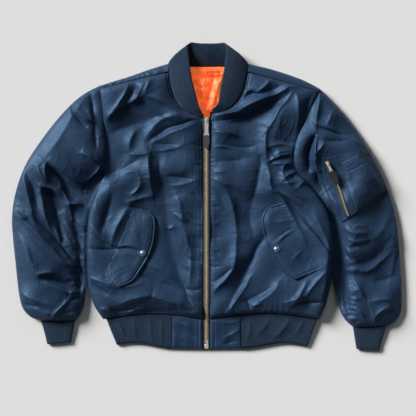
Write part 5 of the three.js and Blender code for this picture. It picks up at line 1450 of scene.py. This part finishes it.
def hem_path(v, count):
    """One long line of the band: out from the right woven end, round, back and round again."""
    z = hem_level(v)
    xr, xl = mix(-240, -215, v) + FOLD_RADIUS, mix(264, 242, v) - FOLD_RADIUS
    turn = np.linspace(0, np.pi, 14)
    x = np.concatenate([[-WOVEN_END], xr - FOLD_RADIUS * np.sin(turn), xl + FOLD_RADIUS * np.sin(turn), [WOVEN_END]])
    side = FOLD_RADIUS * np.cos(turn)
    height = np.concatenate([[z + FOLD_RADIUS], z + side, z - side, [z + FOLD_RADIUS]])
    length = run_length(np.stack([x, height], -1))
    even = np.linspace(0, length[-1], count)
    x, height = np.interp(even, length, x), np.interp(even, length, height)
    y = mix(hem_seam(x) - 0.3, hem_foot(x), v)
    return np.stack([x, y, height], -1)


HEM_FOLDS = [
    (198, -296, 184, -318, 158, -344, 4.5, 9, 0.3),
    (150, -298, 142, -312, 118, -336, 3.5, 9, -0.3),
    (232, -296, 226, -312, 214, -330, 2.5, 8, 0),
    (104, -298, 104, -320, 100, -350, 2, 8, 0),
    (-216, -296, -206, -316, -196, -334, 2.5, 8, 0),
    (-176, -296, -172, -322, -170, -346, 2, 9, 0),
    (-138, -296, -136, -316, -130, -350, 2.5, 9, 0),
    (-106, -298, -108, -322, -104, -352, 2, 7, 0),
]
HEM_COLUMNS = 4 * 380 + 1
middle = np.stack([hem_path(v, HEM_COLUMNS) for v in np.linspace(0, 1, 13)])
v = np.linspace(0, 1, 13)[:, None]
front_layer = middle[..., 2] > hem_level(v) + 1
soft = 1.1 + 1.1 * rumple(middle[..., 0], middle[..., 1] * 0.3, 26, 130)
drawn = fold_height(HEM_FOLDS, middle[..., 0], middle[..., 1], 131)
drawn = np.maximum(drawn + soft, 0.2) * np.sin(np.pi * np.clip(v, 0.12, 0.97)) ** 0.6
middle[..., 2] += np.where(front_layer, drawn, 0)
hem = knit_band("knit_hem", middle[:, ::-1], RIB_WALL, ["hem_rib"])

# %% [markdown]
# Between the rib and the zip the hem is shell cloth, folded over at the lower edge, softly
# creased, with a stitched band beside the zip.

# %% Woven ends of the hem
END_FOLDS = {
    -1: [
        (-78, -300, -58, -308, -36, -318, 2.5, 6, 0),
        (-60, -318, -40, -334, -22, -340, -2.5, 6, 0),
        (-80, -332, -66, -344, -50, -348, 2, 6, 0),
    ],
    1: [
        (78, -300, 56, -306, 34, -300, 2.5, 6, 0),
        (80, -322, 62, -328, 44, -340, 3, 6, 0),
        (74, -346, 56, -350, 40, -356, -2.5, 5, 0),
    ],
}
for side, word in ((-1, "right"), (1, "left")):
    v, share = np.linspace(0, 1, 46)[:, None], np.linspace(0, 1, 50)[None]
    x = side * mix(ZIP_EDGE, WOVEN_END - 0.3, share) + 0 * v
    y = mix(hem_seam(x) - 0.3, hem_foot(x), v)
    edge_down = np.minimum(v, 1 - v) * 70
    edge_side = np.minimum(share, 1 - share) * 75
    soft = round_over(np.minimum(edge_down, edge_side), 9)
    top = hem_level(v) + 3.0 + 3.2 * soft
    top = top + soft * (1.2 * rumple(x, y * 0.45, 17, 140 + side) + 1.2 * rumple(x, y, 34, 142 + side))
    top = top + soft * fold_height(END_FOLDS[side], x, y, 144)
    top = top - 1.4 * np.exp(-(((share * 75 - 11) / 1.6) ** 2)) * ramp(edge_down, 0, 6)
    over = np.stack([x, y, top + 0 * x], -1)
    under = np.stack([x, y, hem_level(v) - 0.3 + 0 * x], -1)
    end = solid_between(f"hem_end_cloth_{word}", over, under, nylon)
    wear(end, [f"hem_end_{word}"])

# %% [markdown]
# ## The lining
# Inside the neck the orange lining shows. It is gathered under the back neckline, and falls
# in soft upright folds below.

# %% Lining
LINING = [
    (191, -7.6, 7.6),
    (199, -9, 8.6),
    (203, -38, 10),
    (209, -50, 40),
    (216, -58.5, 56),
    (226, -67, 68),
    (240, -75, 78.5),
    (257, -82, 86),
    (276, -86.5, 92),
    (292, -89, 95.6),
    (303, -90, 97),
    (314, -90, 97),
]
LINING_FOLDS = [
    (-80, 290, 0, 284, 84, 289, -7, 4, 0),
    (-60, 303, -10, 296, 60, 303, 4, 4, 0),
    (-26, 286, -34, 250, -16, 206, 4, 7, 0.3),
    (-50, 286, -54, 258, -40, 226, 3, 6, 0.3),
    (18, 290, 8, 244, -6, 200, -5, 6, 0),
    (34, 286, 24, 250, 12, 214, 4, 6, -0.3),
    (54, 288, 46, 262, 34, 232, -3, 5, 0),
    (-6, 280, -8, 262, -2, 240, 3, 6, 0),
    (-34, 272, -14, 258, 4, 262, -4, 5, 0),
    (-24, 238, -8, 226, 2, 232, -4, 5, 0),
    (20, 262, 28, 246, 30, 226, 4, 5, 0.3),
    (-30, 300, -20, 292, -8, 298, -3, 4, 0),
    (8, 300, 20, 292, 32, 298, -3, 4, 0),
]
v, share = np.linspace(0, 1, 104), np.linspace(0, 1, 112)
row = through(LINING)(v)
tuck = 16 * ramp(v, 0.15, 0.45)[:, None]
x = mix(row[:, 1:2] + tuck, row[:, 2:3] - tuck, share[None])
y = row[:, :1] + 0 * x
to_rim = np.minimum(x - row[:, 1:2], row[:, 2:3] - x)
puff = ramp(to_rim, 6, 30) * np.maximum(np.sin(np.pi * np.clip(v, 0, 0.999)), 0)[:, None] ** 0.6
gather = ramp(y, 268, 286) * (1 - ramp(y, 300, 308))
ripple = 1.2 * gather * np.sin(2 * np.pi * x / 12 + 6 * rumple(x, y, 24, 150))
folds = fold_height(LINING_FOLDS, x, y, 155)
top = FRONT_UNDER + 2 + puff * (10 + 1.7 * folds + ripple + 2.2 * rumple(x, y, 19, 151))
grid = np.stack([x, y, np.maximum(top, FRONT_UNDER + 0.8)], -1)
lining = closed_pad("neck_lining_cloth", grid, FRONT_UNDER - 0.2, lining_cloth)
wear(lining, ["neck_lining"])

# %% [markdown]
# ## Pieces on the panels
# Flaps, pockets and the label take their height from the settled cloth under them.

# %% Flaps
FLAP = {
    -1: [
        (-174, -26, -134, -37),
        (-184, -50, -123, -52),
        (-194, -74, -121, -76),
        (-204, -98, -126, -113),
        (-214, -122, -138, -145),
        (-225, -147, -156, -176),
        (-236, -172, -176, -203),
        (-247, -197, -208, -216),
    ],
    1: [
        (186, -12, 154, -24),
        (199, -36, 137, -38),
        (212, -60, 131, -58),
        (224, -83, 135, -84),
        (236, -106, 144, -114),
        (249, -130, 158, -144),
        (262, -153, 177, -174),
        (274, -175, 212, -200),
    ],
}
FLAP_FOLDS = {
    -1: [
        (-212, -128, -194, -138, -160, -140, 2, 5, 0),
        (-190, -60, -172, -84, -160, -120, 1.5, 7, 0),
        (-226, -168, -200, -160, -184, -176, 1.5, 7, 0),
    ],
    1: [
        (166, -110, 188, -92, 216, -78, 3.5, 5, 0.3),
        (166, -100, 188, -84, 214, -74, -2.5, 4, 0),
        (170, -116, 196, -124, 222, -146, 2, 6, 0),
        (160, -60, 180, -66, 198, -52, 2, 5, 0),
        (206, -150, 218, -138, 230, -126, 2, 4, 0),
    ],
}
SNAP = {-1: (-152, -136), 1: (168, -126)}


def patch_plan(table, rows, columns):
    """Plan grid between the two edges of a table of near and far points."""
    row = through(table)(np.linspace(0, 1, rows))
    return mix(row[:, None, :2], row[:, None, 2:4], np.linspace(0, 1, columns)[None, :, None])


def patch_on(name, plan, read, gap_below, wall, edge_wall, soft_edge, finish_with, extra=0):
    """A piece that lies on a panel: its underside follows the panel a small gap above it, and
    its top is a wall higher, rounded down at the rim."""
    x, y = plan[..., 0], plan[..., 1]
    below = read(x, y) + gap_below
    rim = np.minimum.reduce([gap(plan, plan[:, :1]), gap(plan, plan[:, -1:]), gap(plan, plan[:1]), gap(plan, plan[-1:])])
    top = below + mix(edge_wall, wall, round_over(rim, soft_edge)) + extra
    over = np.concatenate([plan, top[..., None]], -1)
    under = np.concatenate([plan, below[..., None]], -1)
    return solid_between(name, over, under, finish_with), over, rim


readers = {name: surface_reader(grid) for name, grid in panel_tops.items()}
flap_tops = {}
for side, word in ((-1, "right"), (1, "left")):
    plan = patch_plan(FLAP[side], 104, 66)
    x, y = plan[..., 0], plan[..., 1]
    rim = np.minimum.reduce([gap(plan, plan[:, -1:]), gap(plan, plan[:1]), gap(plan, plan[-1:])])
    from_hinge = gap(plan, plan[:, :1])
    sunk = 1.0 - 1.4 * (1 - ramp(from_hinge, 0, 30))
    groove = -2.0 * np.exp(-(((rim - 6.5) / 1.4) ** 2))
    groove -= 5.5 * (1 - np.clip(from_hinge / 60, 0, 1)) * mix(0.33, 1, round_over(from_hinge, 5))
    quilt = 1.5 + 1.3 * rumple(x, y, 23, 160 + side) + fold_height(FLAP_FOLDS[side], x, y, 180 + side)
    quilt *= ramp(rim, 7, 20) * ramp(from_hinge, -4, 44)
    along = run_length(plan[:, -1])[:, None] + 0 * x
    pinch = puckers(along, np.abs(rim - 6.5), 8, 0.7, 5, 162 + side)
    flap, top, _ = patch_on(
        f"flap_cloth_{word}", plan, readers[f"front_{word}"], sunk, 6.2, 2.0, 5, nylon, groove + quilt + pinch
    )
    wear(flap, [f"flap_{word}"])
    flap_tops[side] = top

# %% [markdown]
# The snaps are enamelled caps, turned round an axis: a rim, a shallow groove and a dome.

# %% Snaps
SNAP_PROFILE = [(7.4, 0), (7.5, 0.7), (7.1, 1.5), (6.3, 1.7), (5.8, 1.5), (5.2, 1.9), (4.0, 2.7), (2.4, 3.2), (0.9, 3.4)]


def turned(name, profile, centre, finish_with, around=40):
    """A closed body of revolution from (radius, height) pairs, with a cap at each end."""
    profile = np.array(profile, float)
    angle = np.arange(around) / around * 2 * np.pi
    circle = np.stack([np.cos(angle), np.sin(angle)], -1)
    rings = np.concatenate(
        [profile[:, None, :1] * circle[None], np.repeat(profile[:, None, 1:], around, 1)], -1
    ) + np.array(centre)
    last = (len(profile) - 1) * around + np.arange(around)
    body = make_mesh(name, rings, grid_quads(len(profile), around, True), [np.arange(around)[::-1], last], finish_with)
    return face_out(body)


for side, word in ((-1, "right"), (1, "left")):
    x, y = SNAP[side]
    seat = surface_reader(flap_tops[side])(np.array([x]), np.array([y]))[0]
    cap = turned(f"snap_cap_{word}", SNAP_PROFILE, (x, y, seat - 0.1), enamel)
    wear(cap, [f"snap_{word}"])

# %% [markdown]
# ## The zips
# A metal zip is two rows of teeth clamped on the corded edges of its tapes, set alternately.

# %% Teeth
def tooth_shape(length, width, height):
    """One tooth as a chamfered block: an octagon in plan at three heights, 16 faces in all."""
    half_l, half_w, cut = length / 2, width / 2, 0.28 * width
    corner = np.array([
        (-half_l, -half_w + cut), (-half_l + cut, -half_w), (half_l - cut, -half_w), (half_l, -half_w + cut),
        (half_l, half_w - cut), (half_l - cut, half_w), (-half_l + cut, half_w), (-half_l, half_w - cut),
    ])
    levels = ((0.86, -height / 2), (1.0, 0.1 * height), (0.72, height / 2))
    return np.concatenate([np.column_stack([corner * k, np.full(8, z)]) for k, z in levels])


def row_of(name, shape, places, ways, finish_with, levels=3, around=8):
    """Copies of a small shape at places, each turned about Z so that its X lies along a way."""
    cos, sin = ways[:, :1], ways[:, 1:]
    x = shape[None, :, 0] * cos - shape[None, :, 1] * sin
    y = shape[None, :, 0] * sin + shape[None, :, 1] * cos
    points = np.stack([x, y, np.repeat(shape[None, :, 2], len(places), 0)], -1) + places[:, None]
    size = len(shape)
    wall = grid_quads(levels, around, True)
    fan = np.array([(0, 3, 2, 1), (0, 7, 4, 3), (7, 6, 5, 4)])
    top = fan[:, ::-1] + (levels - 1) * around
    one = np.concatenate([wall, fan, top])
    quads = (one[None] + (np.arange(len(places)) * size)[:, None, None]).reshape(-1, 4)
    return make_mesh(name, points, quads, (), finish_with, smooth=False)


TOOTH_STEP = 1.9
CHAIN_TOP, ZIP_FOOT = 174.2, -352
y = np.arange(CHAIN_TOP - 1, ZIP_FOOT, -TOOTH_STEP)
hand = np.where(np.arange(y.size) % 2 == 0, -1.0, 1.0)
places = np.stack([1.5 * hand, y, zip_height(y) + 0.2], -1)
ways = np.tile([1.0, 0.0], (y.size, 1))
teeth = row_of("front_teeth", tooth_shape(6.6, 1.6, 3.0), places, ways, brass)
wear(teeth, ["zip_chain"])
print("front teeth:", y.size)

# %% [markdown]
# The tapes lie beside the teeth, and their corded edges meet under them.

# %% Tapes and zip foot
level = np.linspace(CHAIN_TOP, -366, 140)
span = np.array([-8.15, -6.2, -4.6, -3.2, -1.2, 1.2, 3.2, 4.6, 6.2, 8.15])
lift = np.array([0.5, 0.6, 0.5, -0.3, -0.7, -0.7, -0.3, 0.5, 0.6, 0.5])
x, y = np.meshgrid(span, level)
z = zip_height(y)
over = np.stack([x, y, z + lift], -1)
under = np.stack([x, y, z - 1.3 + 0 * x], -1)
tape = solid_between("zip_tape_cloth", over, under, tape_cloth)
wear(tape, ["zip_tape_right", "zip_tape_left"])


def rounded_block(name, centre, size, finish_with, cut=0.22, slope=0.0):
    """A block with its corners cut in plan and its upper and lower rims drawn in."""
    half = np.array(size) / 2
    c = cut * min(size[0], size[1])
    plan = np.array([
        (-half[0], -half[1] + c), (-half[0] + c, -half[1]), (half[0] - c, -half[1]), (half[0], -half[1] + c),
        (half[0], half[1] - c), (half[0] - c, half[1]), (-half[0] + c, half[1]), (-half[0], half[1] - c),
    ])
    rings = [np.column_stack([plan * k, np.full(8, z)]) for k, z in
             ((0.88, -half[2]), (1, -half[2] * 0.7), (1, half[2] * 0.55), (0.84, half[2]))]
    points = np.concatenate(rings)
    points[:, 2] += slope * points[:, 1]
    points = points + np.array(centre)
    quads = grid_quads(4, 8, True)
    return face_out(make_mesh(name, points, quads, [np.arange(8)[::-1], np.arange(24, 32)], finish_with, False))


foot = zip_height(-359)
box_part = rounded_block("zip_box", (0.2, -360.2, foot + 0.4), (10.2, 11.4, 4.6), nickel)
pin_part = rounded_block("zip_pin", (2.4, -350.2, zip_height(-350) + 0.6), (3.6, 9.0, 3.6), nickel)
for part in (box_part, pin_part):
    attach(part, "jacket")

# %% [markdown]
# ## The sleeve pocket
# On the wearer's left sleeve a slanted zip closes a patch pocket, and a narrower pen pocket
# is sewn on it. The patches follow the padded sleeve.

# %% Sleeve pockets
ZIP_POCKET = [
    (272, 92, 364, 107),
    (278, 58, 388, 79),
    (286, 20, 409, 54),
    (300, -22, 423, 31),
    (325, -62, 430, 9),
]
PEN_POCKET = [
    (322, 80, 363, 101),
    (329, 54, 385, 77),
    (336, 24, 404, 53),
    (346, -6, 417, 32),
    (359, -34, 424, 12),
]
SLEEVE_ZIP = [(284, 86), (298, 62), (313, 30), (323, -1), (330, -26), (338, -47)]
LABEL = [(374, 110, 386, 115), (381, 98, 393, 103)]

read_sleeve = readers["sleeve_left"]
plan = patch_plan(ZIP_POCKET, 96, 70)
rim = np.minimum.reduce([gap(plan, plan[:, :1]), gap(plan, plan[:, -1:]), gap(plan, plan[:1]), gap(plan, plan[-1:])])
drop = gap(plan, plan[:1])
stitch_line = -0.25 * np.exp(-(((rim - 4.5) / 1.2) ** 2)) + 0.8 * ramp(rim, 5, 18) - 1.3 * (1 - ramp(drop, 10, 110))
pocket, pocket_top, _ = patch_on("sleeve_pocket_cloth", plan, read_sleeve, 0.8, 3.0, 1.2, 3, nylon, stitch_line)
wear(pocket, ["sleeve_pocket"])

read_pocket = surface_reader(pocket_top)


def read_both(x, y):
    """The higher of the sleeve and the pocket on it."""
    return np.maximum(read_sleeve(x, y) + 1.2, np.where(inside_pocket(x, y), read_pocket(x, y), -99))


def inside_pocket(x, y):
    """True well inside the outline of the zip pocket."""
    near = through(ZIP_POCKET)(np.linspace(0, 1, 60))
    left = np.interp(-y, -near[:, 1], near[:, 0])
    right = np.interp(-y, -near[:, 3], near[:, 2])
    return (x > left + 2) & (x < right - 2)


plan = patch_plan(PEN_POCKET, 70, 48)
rim = np.minimum.reduce([gap(plan, plan[:, :1]), gap(plan, plan[:, -1:]), gap(plan, plan[:1])])
down = gap(plan, plan[:1])
slot_line = -1.1 * np.exp(-(((down - 26) / 1.5) ** 2)) * ramp(gap(plan, plan[:, :1]), 6, 14)
hump = 2.2 * np.sin(np.pi * np.clip(down / 112, 0, 1)) ** 0.7 * ramp(rim, 0, 10)
extra = hump + slot_line - 0.25 * np.exp(-(((rim - 4.5) / 1.2) ** 2)) - 1.2 * (1 - ramp(down, 10, 80)) + 0.5 * rumple(plan[..., 0], plan[..., 1], 17, 170)
pen, pen_top, _ = patch_on("pen_pocket_cloth", plan, read_both, 0.6, 3.2, 1.6, 3, nylon, extra)
wear(pen, ["pen_pocket"])

plan = patch_plan(LABEL, 12, 12)
label, label_top, _ = patch_on("label_cloth", plan, read_sleeve, 1.0, 1.2, 0.8, 1.5, leather)
wear(label, ["sleeve_label"])

# %% Sleeve zip
curve = through(SLEEVE_ZIP)
t = np.linspace(0, 1, 500)
line = curve(t)
length = run_length(line)
even = np.arange(3.0, length[-1] - 1, 1.25)
place = np.stack([np.interp(even, length, line[:, k]) for k in range(2)], -1)
way = np.gradient(place, axis=0)
way /= np.linalg.norm(way, axis=-1, keepdims=True)
cross = np.stack([-way[:, 1], way[:, 0]], -1)
hand = np.where(np.arange(even.size) % 2 == 0, -1.0, 1.0)[:, None]
spot = place + 0.8 * hand * cross
height = np.maximum(read_both(place[:, 0], place[:, 1]), 0)
height = np.convolve(np.pad(height, 6, "edge"), np.ones(13) / 13, "valid")
places = np.concatenate([spot, (height + 1.7)[:, None]], -1)
small_teeth = row_of("sleeve_teeth", tooth_shape(3.6, 1.0, 1.9), places, cross, brass)
wear(small_teeth, ["sleeve_zip_chain"])
band = np.array([-6.5, -5.0, -2.6, 0, 2.6, 5.0, 6.5])
strip = place[:, None] + band[None, :, None] * cross[:, None]
lift = np.array([0.3, 0.9, 1.1, 0.7, 1.1, 0.9, 0.3])
over = np.concatenate([strip, (height[:, None] + lift[None])[..., None]], -1)
under = np.concatenate([strip, (height[:, None] - 0.5 + 0 * lift[None])[..., None]], -1)
sleeve_tape = solid_between("sleeve_tape_cloth", over, under, tape_cloth)
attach(sleeve_tape, "jacket")
print("sleeve teeth:", even.size)

# %% [markdown]
# The sliders, pulls and tabs keep the solids' shapes and get worn metal and leather.

# %% Finishes of the kept solids
for node, look in {
    "front_slider": nickel, "front_pull": nickel, "front_tab": grey_tab,
    "sleeve_slider": nickel, "sleeve_pull": nickel, "sleeve_tab": leather,
}.items():
    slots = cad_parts[node].material_slots
    for place_in_slots in slots:
        place_in_slots.material = look

# %% [markdown]
# ## Stitching
# Lockstitch shows as short rods of thread. Each row is a path on the settled cloth, and the
# rods dip into it at both ends.

# %% Stitches
STITCH_STEP = 3.4
STITCH_LENGTH = 2.3
THREAD_WIDTH = 0.42


def stitch_shape():
    """One visible stitch: a rod of four rings, thin at the ends and bent like a bow."""
    rings = []
    for x, r, z in ((-0.5, 0.35, -0.25), (-0.25, 0.95, 0.18), (0.25, 0.95, 0.18), (0.5, 0.35, -0.25)):
        angle = np.arange(4) / 4 * 2 * np.pi + np.pi / 4
        ring = np.stack([np.full(4, x * STITCH_LENGTH), THREAD_WIDTH * r * np.cos(angle), z + THREAD_WIDTH * r * np.sin(angle)], -1)
        rings.append(ring)
    return np.concatenate(rings)


STITCH = stitch_shape()
stitch_places, stitch_ways = [], []


def sew(path, read, above=0.25):
    """Adds a row of stitches along a plan path on the surface that read gives."""
    length = run_length(path)
    even = np.arange(STITCH_STEP / 2, length[-1], STITCH_STEP)
    spot = np.stack([np.interp(even, length, path[:, k]) for k in range(2)], -1)
    way = np.gradient(spot, axis=0)
    way /= np.maximum(np.linalg.norm(way, axis=-1, keepdims=True), 1e-9)
    z = read(spot[:, 0], spot[:, 1]) + above
    stitch_places.append(np.concatenate([spot, z[:, None]], -1))
    stitch_ways.append(way)


def inward(path, distance, side=1):
    """A plan path moved sideways to its left, or to its right with side -1."""
    way = np.gradient(path, axis=0)
    way /= np.maximum(np.linalg.norm(way, axis=-1, keepdims=True), 1e-9)
    return path + side * distance * np.stack([-way[:, 1], way[:, 0]], -1)


for side, word in ((-1, "right"), (1, "left")):
    top = panel_tops[f"front_{word}"]
    read = readers[f"front_{word}"]
    rows = np.arange(4, 230)
    sew(inward(top[rows, 0, :2], 6.0, -side), read)
    neck = through(NECKLINE[side])(np.linspace(0.06, 0.96, 120))
    sew(inward(neck, 5.5, -side), read)
    shoulder = top[-1, 6:-4, :2]
    sew(inward(shoulder, 2.2, side * -1), read)
    sew(inward(shoulder, 6.8, side * -1), read)
    flap = flap_tops[side]
    read_flap = surface_reader(flap)
    border = np.concatenate([flap[3:-3, -5, :2]])
    sew(border, read_flap)

places = np.concatenate(stitch_places)
ways = np.concatenate(stitch_ways)
one = grid_quads(4, 4, True)
one = np.concatenate([one, [(3, 2, 1, 0)], [(12, 13, 14, 15)]])
cos, sin = ways[:, :1], ways[:, 1:]
px = STITCH[None, :, 0] * cos - STITCH[None, :, 1] * sin
py = STITCH[None, :, 0] * sin + STITCH[None, :, 1] * cos
points = np.stack([px, py, np.repeat(STITCH[None, :, 2], len(places), 0)], -1) + places[:, None]
quads = (one[None] + (np.arange(len(places)) * 16)[:, None, None]).reshape(-1, 4)
stitches = make_mesh("stitching", points, quads, (), thread)
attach(stitches, "jacket")
print("stitches:", len(places))

# %% [markdown]
# ## Floor
# A plain pale surface, just below the cloth.

# %% Floor
FLOOR_REACH = 6000
corners = [(-1, -1), (1, -1), (1, 1), (-1, 1)]
floor = make_mesh("floor", [(FLOOR_REACH * a, FLOOR_REACH * b, -0.3) for a, b in corners], [(0, 1, 2, 3)], (), floor_paint)
